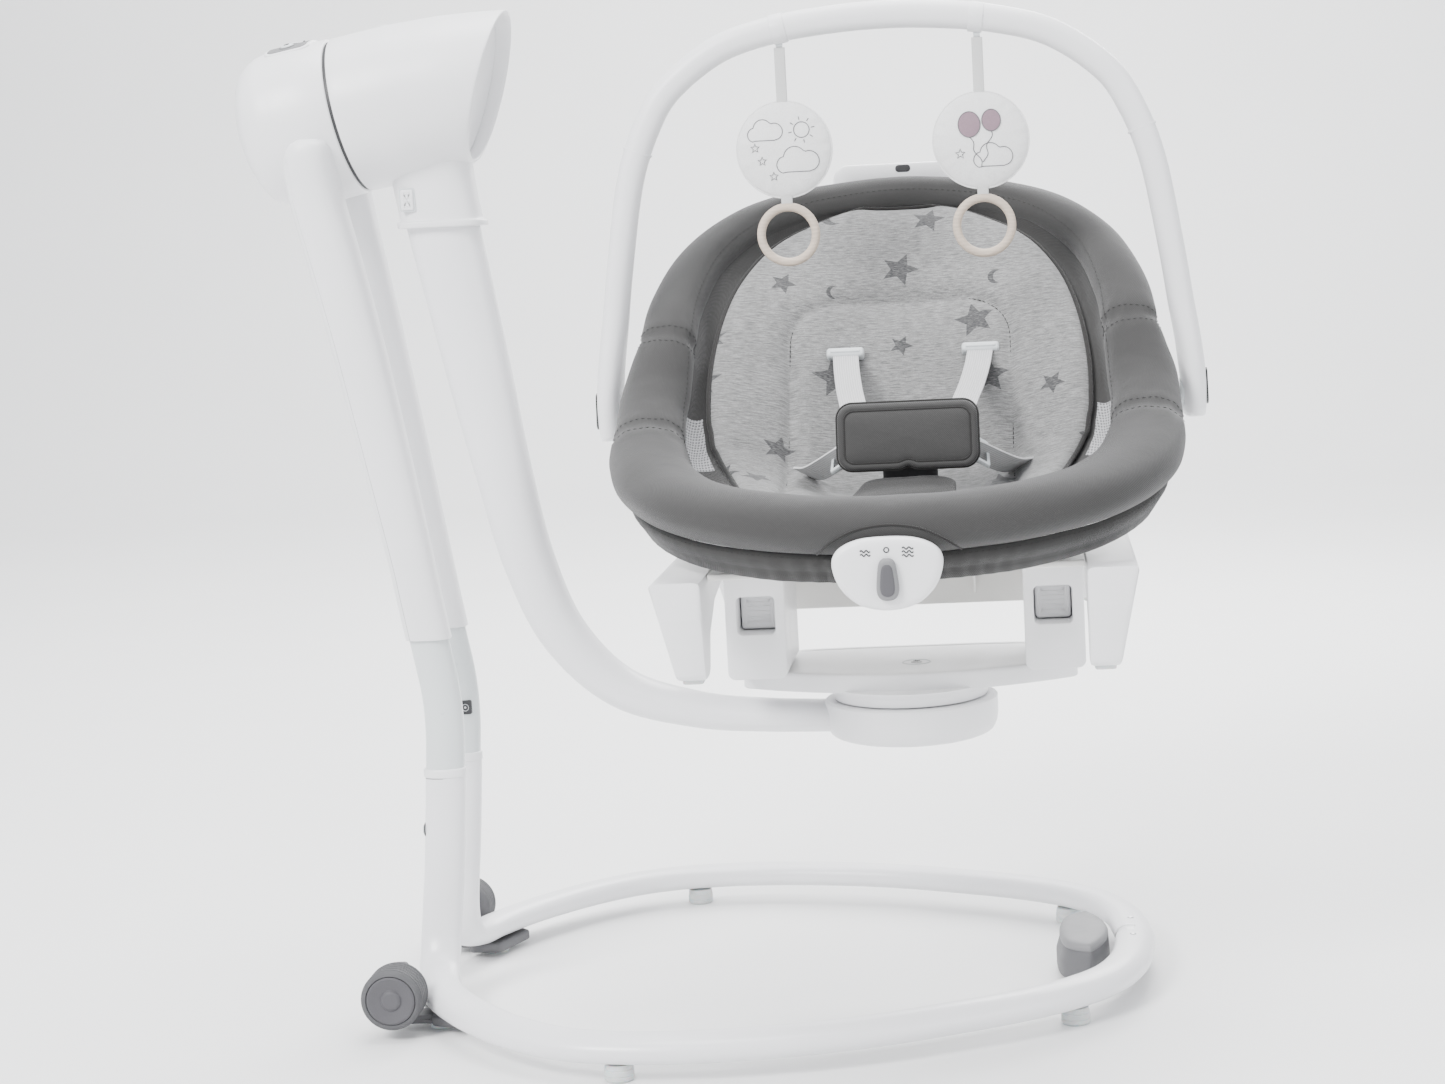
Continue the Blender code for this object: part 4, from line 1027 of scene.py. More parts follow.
def rockers():
    for side, s in (("left", -1), ("right", 1)):
        def place(u, v, h):
            return seat(s * (RAIL_IN + h * (RAIL_WIDE + (v - RAIL_LOW) * 0.2)), u, v)

        outline = [tuple(p) for p in fillet(RUNNER, 9.0, 6)]
        profile = [(4.0, 0.0), (1.2, 0.03), (0.0, 0.12), (0.0, 0.86), (0.5, 0.94), (1.8, 0.985),
                   (4.2, 1.0)]
        rail = plaque(f"rail_{side}", outline, place, profile, WHITE, "seat", fan=False)
        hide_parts(f"rocker_{side}")
        for end, y in (("front", -187.5), ("rear", 187.5)):
            plaque(f"rail_pad_{side}_{end}", rounded(9.0, 8.0, 3.5),
                   lambda u, v, h: seat(s * (RAIL_IN + 13 + u), y + v, RAIL_LOW + 0.6 - h),
                   [(0, -1.5), (0, 3.0), (0.6, 3.9), (1.6, 4.2)], FOOT, "seat")

        # latch bracket with its squeeze lever
        place = lambda u, v, h: seat(s * (BRACKET_X + u), h, 344.95 + v)
        outer = rounded(26.7, 52.5, 7.0)
        inner = [(u - 0.7, v + 5.05) for u, v in rounded(17.0, 17.0, 4.5)]
        front = window_frame(f"bracket_front_{side}", outer, inner, place, -62, -20, WHITE, "seat")
        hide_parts(f"latch_bracket_{side}")
        plaque(f"bracket_body_{side}", outer, place,
               [(1.0, -21.5), (0, -20.6), (0, 58), (0.7, 61), (2.6, 62)], WHITE, "seat")
        lever = plaque(f"squeeze_lever_{side}", rounded(15.8, 15.8, 3.4),
                       lambda u, v, h: seat(s * LEVER_X + u, -30 - h, 350 + v),
                       [(0.8, 0), (0, 0.8), (0, 2.9), (0.4, 3.6), (1.4, 4.0), (3.0, 4.0),
                        (3.5, 3.5), (5, 3.4)], WHITE, f"latch_{side}")
        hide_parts(f"latch_lever_{side}")
        for k in range(5):
            z = 342 + 4 * k
            rib = [seat(s * LEVER_X + u, -33.6, z) for u in (-10, 10)]
            rod(f"lever_rib_{side}_{k}", rib, 0.7, WHITE, f"latch_{side}", 8, tilt=Y)
        seam = [seat(s * BRACKET_X + u, -61.7, 391) for u in (-25.2, 25.2)]
        rod(f"bracket_seam_{side}", seam, 0.35, SOFT_GREY, "seat", 6, tilt=Y)


def chassis():
    outline = [(-170, 398), (97, 398), (97, 330), (104, 330), (104, 404), (-170, 404)]
    outline = fillet(outline, 2.4, 4, closed=True)
    # The tray, webs and lip carry the cream with painted light, which lifts them out of the seat's
    # shade.
    tray = plaque("chassis_tray", outline, lambda u, v, h: seat(h, u, v),
                  [(0.8, -159.2), (0, -158.4), (0, 158.4), (0.8, 159.2)], CREAM_WITH_PAINTED_LIGHT, "seat", fan=False)
    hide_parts("seat_chassis")
    for k, x in enumerate((-120, -60, 0, 60, 120)):
        web = fillet([(97.5, 397.5), (40, 397.5), (97.5, 338)], 2.0, 3, closed=True)
        plaque(f"chassis_web_{k}", web, lambda u, v, h: seat(x + h, u, v),
               [(0.5, -1.3), (0, -0.8), (0, 0.8), (0.5, 1.3)], CREAM_WITH_PAINTED_LIGHT, "seat", fan=False)
    lip = [seat(x, 103.6, 331.5) for x in (-157, 157)]
    rod("chassis_lip", lip, 1.7, CREAM_WITH_PAINTED_LIGHT, "seat", 10, tilt=Y)


# ---------------------------------------------------------------- vibration unit
def vibration_unit():
    shield = [(0, 444), (-22, 442.5), (-38, 436), (-44.5, 426), (-42.5, 412), (-35, 399),
              (-21, 388.5), (0, 384.5), (21, 388.5), (35, 399), (42.5, 412), (44.5, 426),
              (38, 436), (22, 442.5)]
    outline = [tuple(p) for p in spline(shield, 6, closed=True)]
    place = lambda u, v, h: seat(u, -h, v)
    face = plaque("shield", outline, place,
                  [(1.6, 274), (0.4, 275), (0, 277), (0, 281), (0.5, 283.3), (1.8, 285.2),
                   (3.9, 286.4), (7, 286.9), (12, 287)], WHITE, "seat")
    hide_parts("vibration_housing")
    plaque("shield_box", rounded(30, 12.75, 4), lambda u, v, h: seat(u, -h, 404.25 + v),
           [(2.5, 249), (0.6, 249.8), (0, 252), (0, 276)], WHITE, "seat")
    lozenge = [(-9, 402), (-6.4, 395.6), (0, 393.6), (6.4, 395.6), (9, 402), (8.2, 414),
               (6.7, 423.4), (3.8, 427), (0, 427.7), (-3.8, 427), (-6.7, 423.4), (-8.2, 414)]
    lozenge = [tuple(p) for p in spline(lozenge, 5, closed=True)]
    knob = plaque("dial", lozenge, place,
                  [(0.3, 287.3), (0, 287.6), (0, 290.4), (0.4, 292.0), (1.3, 293.2), (2.6, 293.75)],
                  SOFT_GREY, "vibration_knob")
    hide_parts("vibration_knob")
    plaque("dial_grip", [(u * 0.66, (v - 409) * 0.76 + 409) for u, v in lozenge], place,
           [(0, 293.2), (0.2, 294.3), (0.8, 294.7), (2.0, 294.9)], SLATE, "vibration_knob")

    # marks for low, off and high: two waves, a ring, three waves
    mark_y = -287.1

    def wave(name, x, z, width):
        pts = [seat(x - width / 2 + width * k / 16, mark_y, z + 0.9 * math.sin(k * math.pi / 4))
               for k in range(17)]
        rod(name, pts, 0.6, DARK, "seat", 6, tilt=Y)

    for k in range(2):
        wave(f"mark_low_{k}", -17, 433.6 - 3.0 * k, 8)
    for k in range(3):
        wave(f"mark_high_{k}", 17, 435.1 - 3.0 * k, 9)
    ring = [seat(2.0 * math.cos(t), mark_y, 434.2 + 2.0 * math.sin(t)) for t in turns(20)]
    rod("mark_off", ring, 0.55, DARK, "seat", 6, closed=True, tilt=Y)


# ---------------------------------------------------------------- back handle
def back_handle():
    outer = rounded(64, 34, 14)
    place = lambda u, v, h: seat(-3 + u, h, 714 + v)
    grip = window_frame("handle_grip", outer, [(u, v - 2) for u, v in rounded(46, 18, 9)],
                        place, 262, 280, WHITE, "back_rest", 2.6)
    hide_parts("back_handle")
    plaque("handle_web", [(u, v - 2) for u, v in rounded(47, 19, 9)],
           place, [(0, 268), (0, 272.2), (3, 272.6)], WHITE, "back_rest")
    plaque("handle_badge", rounded(7.5, 3.6, 3.4),
           lambda u, v, h: seat(2.5 + u, 262 - h, 742.5 + v),
           [(0, -1.0), (0, 0.25), (0.4, 0.5)], DARK, "back_rest")


# ---------------------------------------------------------------- toy bar
BAR = [(268, 503, 9, 16), (268.5, 510, 11, 20), (268, 540, 12, 23), (264.5, 575, 12, 22),
       (259.5, 607, 12, 19), (252, 660, 12, 16), (238, 738, 12.3, 14), (219, 789, 12.5, 13),
       (196, 822, 12.5, 12.5), (150, 854, 12.5, 12.5), (97, 869, 12.5, 12.5),
       (47, 875, 12.5, 12.5), (0, 877, 12.5, 12.5)]
BAR_Y = 50.0
TOY_X = {"left": -95.0, "right": 84.0}
DISC_R, DISC_Z = 43.2, 761.0                       # hanging discs: radius and height


def toy_bar():
    rows = BAR + [(-x, z, a, b) for x, z, a, b in reversed(BAR[:-1])]
    rows = spline(rows, 6)
    x, z, a, b = rows[0]
    ends = [(seat(x, BAR_Y, z - 0.6), 0.72), (seat(x, BAR_Y, z), 0.9)]
    path = [p for p, k in ends] + [seat(x, BAR_Y, z) for x, z, a, b in rows[1:-1]]
    path += [seat(-x, BAR_Y, z), seat(-x, BAR_Y, z - 0.6)]
    ends = [oval(a * k, b * k, 40, 2.3) for p, k in ends]
    sections = ends + [oval(a, b, 40, 2.2) for x, z, a, b in rows[1:-1]] + ends[::-1]
    bar = sweep("bar", path, X, sections, WHITE, "toy_bar")
    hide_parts("toy_bar")
    for side, s in (("left", -1), ("right", 1)):
        plaque(f"bar_window_{side}", rounded(7.5, 17, 6),
               lambda u, v, h: seat(s * (280.6 + h - 0.02 * v), BAR_Y + u, 530 + v),
               [(0, -2.5), (0, 0.2), (0.5, 0.7), (1.6, 0.9)], LENS, "toy_bar")
        lathe(f"bar_hub_{side}", fillet([(236.5, 0), (236.5, 6.0), (256, 6.0), (256, 14.0),
                                        (258, 14.6), (260, 14.6), (260, 0)], 0.7, 3),
              seat(0, PIVOT.y / MM, PIVOT.z / MM), X * s, PALE, "toy_bar", 40)
        # joint between the bar's leg and its arch
        x, z = s * 229.5, 765
        lathe(f"bar_joint_{side}", [(-1.2, 12.0), (-1.2, 13.35), (-0.5, 13.6), (0.5, 13.6),
                                    (1.2, 13.35), (1.2, 12.0)],
              seat(x, BAR_Y, z), Vector((-s * 0.34, 0, 0.94)), WHITE, "toy_bar", 48, ring=True)


# ---------------------------------------------------------------- toys
def star(cx, cy, r):
    """Outline of a five-pointed star."""
    out = []
    for k, a in enumerate(turns(10)):
        d = r * 0.42 if k % 2 else r
        out.append((cx + d * math.sin(a), cy + d * math.cos(a)))
    return out


def circle(cx, cy, r, n=36, tall=1.0):
    return [(cx + r * math.cos(t), cy + r * tall * math.sin(t)) for t in turns(n)]


def cloud(cx, cy, w):
    """Outline of a cloud: three arcs over a flat foot."""
    curve = []
    for bx, by, br, a0, a1 in ((-0.55, 0.0, 0.32, 250, 100), (-0.18, 0.26, 0.42, 160, 40),
                               (0.36, 0.12, 0.38, 110, -60)):
        for k in range(12):
            a = math.radians(a0 + (a1 - a0) * k / 11)
            curve.append((cx + (bx + br * math.cos(a)) * w, cy + (by + br * math.sin(a)) * w))
    return curve + [(cx + w * (0.5 - k * 0.14), cy - 0.27 * w) for k in range(1, 8)]


def toy_disc(side):
    """A puckered cushion with stitched drawings on its front."""
    x = TOY_X[side]
    rng = random.Random(11 if side == "left" else 12)
    phase = [rng.uniform(0, 6.28) for _ in range(6)]

    def level(r, t):
        """Half thickness of the cushion at a radius and an angle, with puckers at the seam."""
        q = min(r / DISC_R, 1.0)
        base = 9.0 * (1 - q ** 2.6) ** 0.62
        pucker = 0.55 * q ** 5 * math.sin(23 * t + phase[0]) + 0.4 * q ** 4 * math.sin(
            14 * t + phase[1])
        soft = 0.5 * q * math.sin(3 * t + phase[2]) + 0.35 * math.sin(2 * t + phase[3])
        return max(base + (pucker + soft * 0.7) * (1 - q ** 12), 0.0)

    radii = [DISC_R * math.sin(math.pi / 2 * k / 18) for k in range(1, 19)]
    rings = [[seat(x + r * math.cos(t), BAR_Y - sign * level(r, t), DISC_Z + r * math.sin(t))
              for t in turns(96)]
             for sign, order in ((1, radii), (-1, radii[-2::-1])) for r in order]
    disc = build(f"toy_cushion_{side}", *skin(rings), PLUSH, None, 70)
    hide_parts(f"toy_disc_{side}")
    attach(disc, f"toy_{side}")
    edge = DISC_R + 0.3
    seam = [seat(x + edge * math.cos(t), BAR_Y, DISC_Z + edge * math.sin(t))
            for t in turns(120)]
    rod(f"toy_seam_{side}", seam, 0.75, PLUSH, f"toy_{side}", 8, closed=True, tilt=Y)

    def drawn(name, curve, closed=False, lift=0.15):
        """A line of stitches on the front of the cushion; curve in millimetres from its middle."""
        pts = []
        for u, v in curve:
            d, t = math.hypot(u, v), math.atan2(v, u)
            pts.append(seat(x + u, BAR_Y - level(d, t) - lift, DISC_Z + v))
        rod(f"toy_{name}_{side}", pts, 0.42, THREAD, f"toy_{side}", 6, closed=closed, tilt=Y)

    if side == "left":
        drawn("cloud_a", cloud(-15, 14, 20), closed=True)
        drawn("cloud_b", cloud(14, -14, 24), closed=True)
        drawn("sun", circle(17, 17, 7), closed=True)
        for k, t in enumerate(turns(8)):
            drawn(f"ray_{k}", [(17 + d * math.cos(t + 0.2), 17 + d * math.sin(t + 0.2))
                               for d in (9, 10.5, 12)])
        for k, (u, v) in enumerate(((-20, -10), (-10, -24), (-26, 2))):
            drawn(f"star_{k}", star(u, v, 4.2), closed=True)
    else:
        for k, (u, v, r) in enumerate(((-10, 14, 10), (10, 17, 8.5))):
            felt = []
            for j in range(6):
                felt.append([seat(x + a, BAR_Y - level(math.hypot(a, b), math.atan2(b, a)) - 0.5
                                  - 0.25 * (j > 0), DISC_Z + b)
                             for a, b in circle(u, v, r * (1 - j / 6), 40, 1.15)])
            build(f"toy_balloon_{k}_{side}", *skin(felt), MAUVE, f"toy_{side}", 60)
            drawn(f"balloon_edge_{k}", circle(u, v, r, 40, 1.15), closed=True, lift=0.5)
            string = [(u + 1.6 * math.sin(j * 0.8) + (-u + 2) * j / 14, v - r * 1.15 - j * 2.1)
                      for j in range(14)]
            drawn(f"string_{k}", string)
        drawn("cloud", cloud(12, -18, 22), closed=True)
        drawn("star", star(-19, -12, 4.6), closed=True)


def flat_ribbon(name, path, wide, half, thick, mat, body):
    a, b = half, thick / 2
    sec = [(a, -b), (a, b), (-a, b), (-a, -b)]
    sec = fillet(sec, min(b * 0.9, a * 0.4), 2, closed=True)
    return sweep(name, path, wide, sec, mat, body, 60)


def toys():
    for side in ("left", "right"):
        x = TOY_X[side]
        toy_disc(side)
        body, ring_body = f"toy_{side}", f"toy_ring_{side}"
        top = [seat(x, BAR_Y, z) for z in (852.6, 846, 836, 826, 816, 808, 802.5)]
        flat_ribbon(f"toy_hanger_{side}", top, X, 5.0, 2.0, RIBBON, body)
        low = [seat(x, BAR_Y + dy, z) for dy, z in ((-1.3, 720), (-1.6, 714), (-1.4, 709.5),
                                                     (0, 708.4), (1.4, 709.5), (1.6, 714),
                                                     (1.3, 720))]
        flat_ribbon(f"toy_loop_{side}", low, X, 5.0, 1.0, RIBBON, body)
        clip = fillet([(-6.5, 12.4), (-6.5, 13.6), (6.5, 13.6), (6.5, 12.4)], 0.8, 3, closed=True)
        z_bar = float(np.interp(abs(x), [47, 97, 150], [875, 869, 854]))
        slope = math.copysign(0.19 if side == "left" else 0.15, x)
        lathe(f"toy_clip_{side}", clip, seat(x, BAR_Y, z_bar), Vector((1, 0, -slope)), WHITE,
              "toy_bar", 48, ring=True)
        lathe(f"toy_eye_{side}", [(-3, 0), (-3, 2.6), (3, 2.6), (3, 0)],
              seat(x, BAR_Y, 855.2), X, PALE, "toy_bar", 24)
        ring = lathe(f"teether_{side}",
                     [(4.0 * math.cos(t) * 0.98, 25 + 3.9 * math.sin(t)) for t in turns(20)],
                     seat(x, BAR_Y, 684), Y, WOOD, f"ring_{side}", 96, ring=True)
        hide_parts(ring_body)


# ---------------------------------------------------------------- soft parts: shared
HINGE = (seat(0, 20, 500), seat(0, 70, 600))       # where fabric bends between base and back
RIM = [(0, -236, 448, 36, 25), (52, -232, 449, 36, 25), (108, -215, 453, 37, 25),
       (164, -176, 461, 38, 25), (201, -122, 474, 38, 26), (218, -66, 492, 36, 26),
       (222, -14, 519, 33, 25), (220, 20, 546, 33, 24), (213, 52, 586, 28, 22),
       (208, 94, 620, 27, 22), (187, 148, 660, 25, 22), (150, 192, 689, 24, 21),
       (104, 216, 705, 24, 20), (52, 229, 713, 24, 19), (0, 232, 716, 24, 19)]
LINE = [(-176, 458, 78, 4), (-142, 448, 106, 9), (-100, 440, 124, 17), (-60, 437, 139, 28),
        (-15, 441, 153, 39), (20, 458, 164, 46), (42, 482, 169, 47), (56, 502, 172, 46),
        (84, 540, 172, 42), (114, 582, 166, 34), (142, 620, 154, 24), (168, 653, 134, 14),
        (184, 673, 112, 9), (194, 686, 88, 6), (203, 697, 62, 4), (209, 705, 34, 3)]


def hinged(ob):
    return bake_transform(ob)


CLOTH_FRAMES = 14


def inflate(ob, free, pressure, cap):
    """Blow a closed fabric form up by a cloth simulation and keep the result.

    free: 0 for each point held by a seam, up to 1.  No point moves further than cap millimetres.
    """
    group = ob.vertex_groups.new(name="held")
    for i, f in enumerate(free):
        if f < 1:
            group.add([i], 1 - f, "REPLACE")
    start = np.array([v.co for v in ob.data.vertices], float)
    mod = ob.modifiers.new("cloth", "CLOTH")
    setting = mod.settings
    setting.quality = 5
    setting.mass = 0.3
    setting.tension_stiffness = setting.compression_stiffness = 22
    setting.shear_stiffness = 12
    setting.bending_stiffness = 0.35
    setting.vertex_group_mass = "held"
    setting.use_pressure = True
    setting.uniform_pressure_force = pressure
    setting.effector_weights.gravity = 0
    mod.collision_settings.use_collision = False
    mod.collision_settings.use_self_collision = False
    mod.point_cache.frame_start, mod.point_cache.frame_end = 1, CLOTH_FRAMES
    scene = bpy.context.scene
    for f in range(1, CLOTH_FRAMES + 1):
        scene.frame_set(f)
    deps = bpy.context.evaluated_depsgraph_get()
    moved = np.array([v.co for v in ob.evaluated_get(deps).to_mesh().vertices], float)
    ob.modifiers.remove(mod)
    scene.frame_set(1)
    step = moved - start
    size = np.linalg.norm(step, axis=1, keepdims=True)
    limit = cap * MM
    step *= np.where(size > 1e-9, limit * np.tanh(size / limit) / np.maximum(size, 1e-9), 0)
    step[~np.isfinite(step)] = 0
    for v, p in zip(ob.data.vertices, start + step):
        v.co = p
    ob.vertex_groups.clear()


def ripple(p, seed):
    """A smooth number from -1 to 1 at a place, for creases and folds."""
    return noise.noise(Vector(p) + Vector((seed, 3.1 * seed, 1.7 * seed)))


# ---------------------------------------------------------------- soft parts: padded rim
RIM_STEPS, RIM_ROUND = 8, 32                                 # rings per row, points per ring
SEAM_LOW, SEAM_HIGH = 5.45 * RIM_STEPS, 8.0 * RIM_STEPS      # cross seams, counted in rings
SEAM_UNDER, SEAM_INNER = 24, 14                              # lengthwise seams, by ring point
RIM_GIRTH = 0.19                                             # metres of cloth round the section
STITCH, STITCH_GAP = 0.0034, 0.0022                          # metres
PROUD = 0.0002                                               # thread over cloth, metres


def rim_frames():
    """Middle line of the rim with its outward and upward directions and half sizes."""
    rows = RIM + [(-x, y, z, a, b) for x, y, z, a, b in reversed(RIM[1:-1])]
    rows = spline(rows, RIM_STEPS, closed=True)
    path = [seat(*r[:3]) for r in rows]
    out = []
    n = len(path)
    for i, p in enumerate(path):
        t = (path[(i + 1) % n] - path[i - 1]).normalized()
        away = Vector((p.x - seat(0, 0, 0).x, p.y + 0.010, 0))
        flat = (away - t * away.dot(t)).normalized()
        thick = t.cross(flat)
        if thick.z < 0:
            thick = -thick
        out.append((p, flat, thick, rows[i][3], rows[i][4]))
    return out


def rim_distance(i, n):
    """Rings to the nearest cross seam, and from the middle of the front, on either side."""
    k = min(i, n - i)
    return min(abs(k - SEAM_LOW), abs(k - SEAM_HIGH)), k


def close_uvs(rim, run):
    """Carry the weave on over the strips where it wraps round, `run` metres along the rim."""
    for poly in rim.data.polygons:
        corners = [rim.data.uv_layers[0].data[k].uv for k in poly.loop_indices]
        for axis, half, whole in ((0, 0.5, run + 0.006), (1, 0.1, RIM_GIRTH)):
            if max(uv[axis] for uv in corners) - min(uv[axis] for uv in corners) > half:
                for uv in corners:
                    if uv[axis] < half:
                        uv[axis] += whole


def rim_stitches(verts, body):
    """Stitch lines on each side of every cross seam, and along the inner seam."""
    n = len(body)

    def row(i):
        return verts[(i % n) * RIM_ROUND:(i % n) * RIM_ROUND + RIM_ROUND]

    stitches = []
    for seam in (SEAM_LOW, SEAM_HIGH):
        for s in (1, -1):
            for gap in (-1.15, 1.15):
                at_ring = (seam + gap) * s
                i0 = math.floor(at_ring)
                f = at_ring - i0
                line = [a.lerp(b, f) for a, b in zip(row(i0), row(i0 + 1))]
                centre = sum(line, Vector()) / len(line)
                line = [q + (q - centre).normalized() * PROUD for q in line]
                stitches += dashes(line, STITCH, STITCH_GAP, closed=True)
    line = []
    for i in range(n):
        q = row(i)[SEAM_INNER].lerp(row(i)[SEAM_INNER + 1], 0.55)
        line.append(q + (q - body[i][0]).normalized() * PROUD)
    stitches += dashes(line, STITCH, STITCH_GAP, closed=True)
    return threads("rim_stitches", stitches, THREAD_DARK)


def padded_rim():
    """The rim's padded cover, blown up between its seams."""
    rings, free, uvs = [], [], []
    body = rim_frames()
    n = len(body)
    run = 0.0
    for i, (p, flat, thick, a, b) in enumerate(body):
        if i:
            run += (p - body[i - 1][0]).length
        d, k = rim_distance(i, n)
        pinch = math.exp(-(d / 0.75) ** 2)
        ring = []
        for j, (u, v) in enumerate(oval(a, b, RIM_ROUND, 2.25)):
            under = math.exp(-((j - SEAM_UNDER) / 0.8) ** 2)
            inner = math.exp(-((j - SEAM_INNER) / 0.8) ** 2)
            creases = 0.03 * ripple((i * 0.16, j * 0.35, 0), 4.0)
            creases += 0.03 * ripple((i * 0.5, j * 0.2, 0), 9.0) * math.exp(-(d / 5.0) ** 2)
            gather = 0.03 * math.sin(j * 1.9 + k) * math.exp(-(d / 2.6) ** 2)
            puff = 0.035 * math.exp(-((k - SEAM_LOW + 5) / 4.5) ** 2)
            s = 0.95 - 0.11 * pinch - 0.05 * max(under, 0.7 * inner) + creases + gather + puff
            ring.append(p + (flat * u + thick * v) * s * MM)
            held = max(math.exp(-(d / 0.6) ** 2), under, inner)
            free.append(1 - min(held, 1.0))
            uvs.append((run, j / RIM_ROUND * RIM_GIRTH))
        rings.append(ring)
    rim = build("rim_cover", *skin(rings, closed=True), CHARCOAL, None, 80, uvs)
    inflate(rim, free, 3.2, 3.0)
    close_uvs(rim, run)
    verts = [v.co.copy() for v in rim.data.vertices]
    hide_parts("rim_pad_front", "rim_pad_back")
    thread = rim_stitches(verts, body)
    subdivide(rim)
    hinged(thread)
    hinged(rim)
    return verts, body


def dashes(line, length, gap, closed=False):
    """Short pieces cut from a polyline: [(start, end)]."""
    pts = list(line) + ([line[0]] if closed else [])
    out, on, left, start = [], True, length, pts[0]
    for a, b in zip(pts, pts[1:]):
        seg = (b - a).length
        pos = 0.0
        while seg - pos > left:
            pos += left
            here = a.lerp(b, pos / seg)
            if on:
                out.append((start, here))
            on = not on
            left = length if on else gap
            start = here
        left -= seg - pos
    return out


def threads(name, pieces, mat, r=0.36):
    """One mesh of small four-sided stitches."""
    verts, faces = [], []
    for a, b in pieces:
        d = (b - a).normalized()
        w = d.orthogonal().normalized() * r * MM
        v = d.cross(w)
        mid = a.lerp(b, 0.5)
        base = len(verts)
        for c, k in ((a, 0.35), (mid, 1.0), (b, 0.35)):
            verts += [c + w * k, c + v * k, c - w * k, c - v * k]
        for q in (0, 4):
            for j in range(4):
                i = (j + 1) % 4
                faces.append((base + q + j, base + q + i, base + q + 4 + i, base + q + 4 + j))
        faces += [(base + 3, base + 2, base + 1, base), (base + 8, base + 9, base + 10, base + 11)]
    return build(name, verts, faces, mat, None, 80)


# ---------------------------------------------------------------- soft parts: gathered skirt
TUBE_FRONT = [(0, -236, 410), (52, -232, 411), (108, -215, 414), (164, -176, 422),
              (203, -122, 434), (222, -66, 450), (228, -14, 476), (228, 20, 500), (227, 50, 524)]
SKIRT_POINT = 26                                   # rim point that its upper edge is sewn to
SKIRT_WALL, SKIRT_WRAP = 0.72, 9.2                 # share above the tube; radius round the tube


def skirt_point(top, low, out, w):
    """A point w of the way down from the rim round the tube, and how freely it wrinkles."""
    if w < SKIRT_WALL:
        g = w / SKIRT_WALL
        p = top.lerp(low + out * SKIRT_WRAP * MM, g)
        return p + out * 4.5 * MM * math.sin(math.pi * g), 0.35 + 0.65 * g
    a = (w - SKIRT_WALL) / (1 - SKIRT_WALL) * math.radians(205)
    return low + (out * math.cos(a) - Z * math.sin(a)) * SKIRT_WRAP * MM, 1.0


def skirt(rim_verts, rim_body):
    """Elasticated band from the underside of the rim round the front tube."""
    n = len(rim_body)
    last = int(7.1 * RIM_STEPS)
    tube = spline(TUBE_FRONT, RIM_STEPS)
    rows = []
    fine, down = 4, 15                             # columns per ring of the rim, faces downwards
    for q in range(2 * last * fine + 1):
        i = q / fine - last
        i0 = math.floor(i)
        top = rim_verts[(i0 % n) * RIM_ROUND + SKIRT_POINT].lerp(
            rim_verts[((i0 + 1) % n) * RIM_ROUND + SKIRT_POINT], i - i0)
        k = abs(i)
        k0 = min(int(k), len(tube) - 2)
        x, y, z = np.array(tube[k0]) * (1 - (k - k0)) + np.array(tube[k0 + 1]) * (k - k0)
        low = seat(math.copysign(x, i) if i else 0.0, y, z)
        out = Vector((low.x - seat(0, 0, 0).x, low.y + 0.01, 0)).normalized()
        near = math.exp(-((k - 9) / 6.0) ** 2) + 0.12
        column = []
        for m in range(down + 1):
            w = m / down
            p, pull = skirt_point(top, low, out, w)
            wrinkle = math.sin(q * 0.78 + 5.0 * ripple((q * 0.03, 0, 0), 2.0)) * 0.8
            wrinkle += 1.3 * ripple((q * 0.06, w * 0.8, 0), 3.0)
            ease = min(1.0, m / 3) * (1.0 if w < 0.85 else 0.4)
            column.append(p + out * wrinkle * 1.15 * MM * pull * near * ease)
        rows.append(column)
    verts = [p for column in rows for p in column]
    m = down + 1
    faces = [(a * m + b, (a + 1) * m + b, (a + 1) * m + b + 1, a * m + b + 1)
             for a in range(len(rows) - 1) for b in range(down)]
    widths = [sum((rows[q + 1][b] - rows[q][b]).length for q in range(len(rows) - 1))
              for b in range(m)]
    heights = [sum((c[b + 1] - c[b]).length for b in range(down)) for c in rows]
    width, height = max(widths), max(heights)
    uvs = [(q * width / (len(rows) - 1), b * height / down)
           for q in range(len(rows)) for b in range(m)]
    band = build("rim_skirt", verts, faces, CHARCOAL_DARK, None, 80, uvs)
    thicken(band, 1.2)
    line = [c[2] + (c[2] - seat(0, 0, 470)).normalized() * 0.0009 for c in rows]
    thread = threads("skirt_stitches", dashes(line, 0.003, 0.0022), THREAD_DARK)
    hinged(thread)
    hinged(band)


# ---------------------------------------------------------------- soft parts: insert
INSERT_T = 17.0                                    # thickness in the middle
INSERT_EDGE = -4.0                                 # its edge, over the bed
ALONG, ACROSS = 96, 72                             # faces


def line_table():
    rows = spline(LINE, 12)
    s, run = [0.0], 0.0
    for a, b in zip(rows, rows[1:]):
        run += math.hypot(b[0] - a[0], b[1] - a[1])
        s.append(run)
    return np.array(s), np.array(rows)


LINE_S, LINE_ROWS = line_table()
LINE_TOTAL = float(LINE_S[-1])


def line_at(s):
    """y, z, half width and rise of the seating surface, s millimetres from its front."""
    return [float(np.interp(s, LINE_S, LINE_ROWS[:, k])) for k in range(4)]


def bed(s, x_share, lift=0.0):
    """A point of the seating surface; x_share runs from -1 to 1 and lift is along its normal."""
    y, z, w, rise = line_at(s)
    e = 4.0
    y0, z0 = line_at(max(s - e, 0))[:2]
    y1, z1 = line_at(min(s + e, LINE_TOTAL))[:2]
    t = Vector((0, y1 - y0, z1 - z0)).normalized()
    nrm = Vector((0, -t.z, t.y))
    p = Vector((w * x_share, y, z)) + nrm * (rise * abs(x_share) ** 2.4)
    slope = rise * 2.4 * abs(x_share) ** 1.4 / max(w, 1.0) * math.copysign(1, x_share)
    side = X + nrm * slope
    up = side.normalized().cross(t).normalized()
    if up.dot(nrm) < 0:
        up = -up
    p += up * lift
    return seat(p.x, p.y, p.z)


# sewn outline of the inner panel: half width, and how far up the back it reaches
PANEL_HALF, PANEL_GAP, PANEL_ROUND = 104.0, 118.0, 50.0


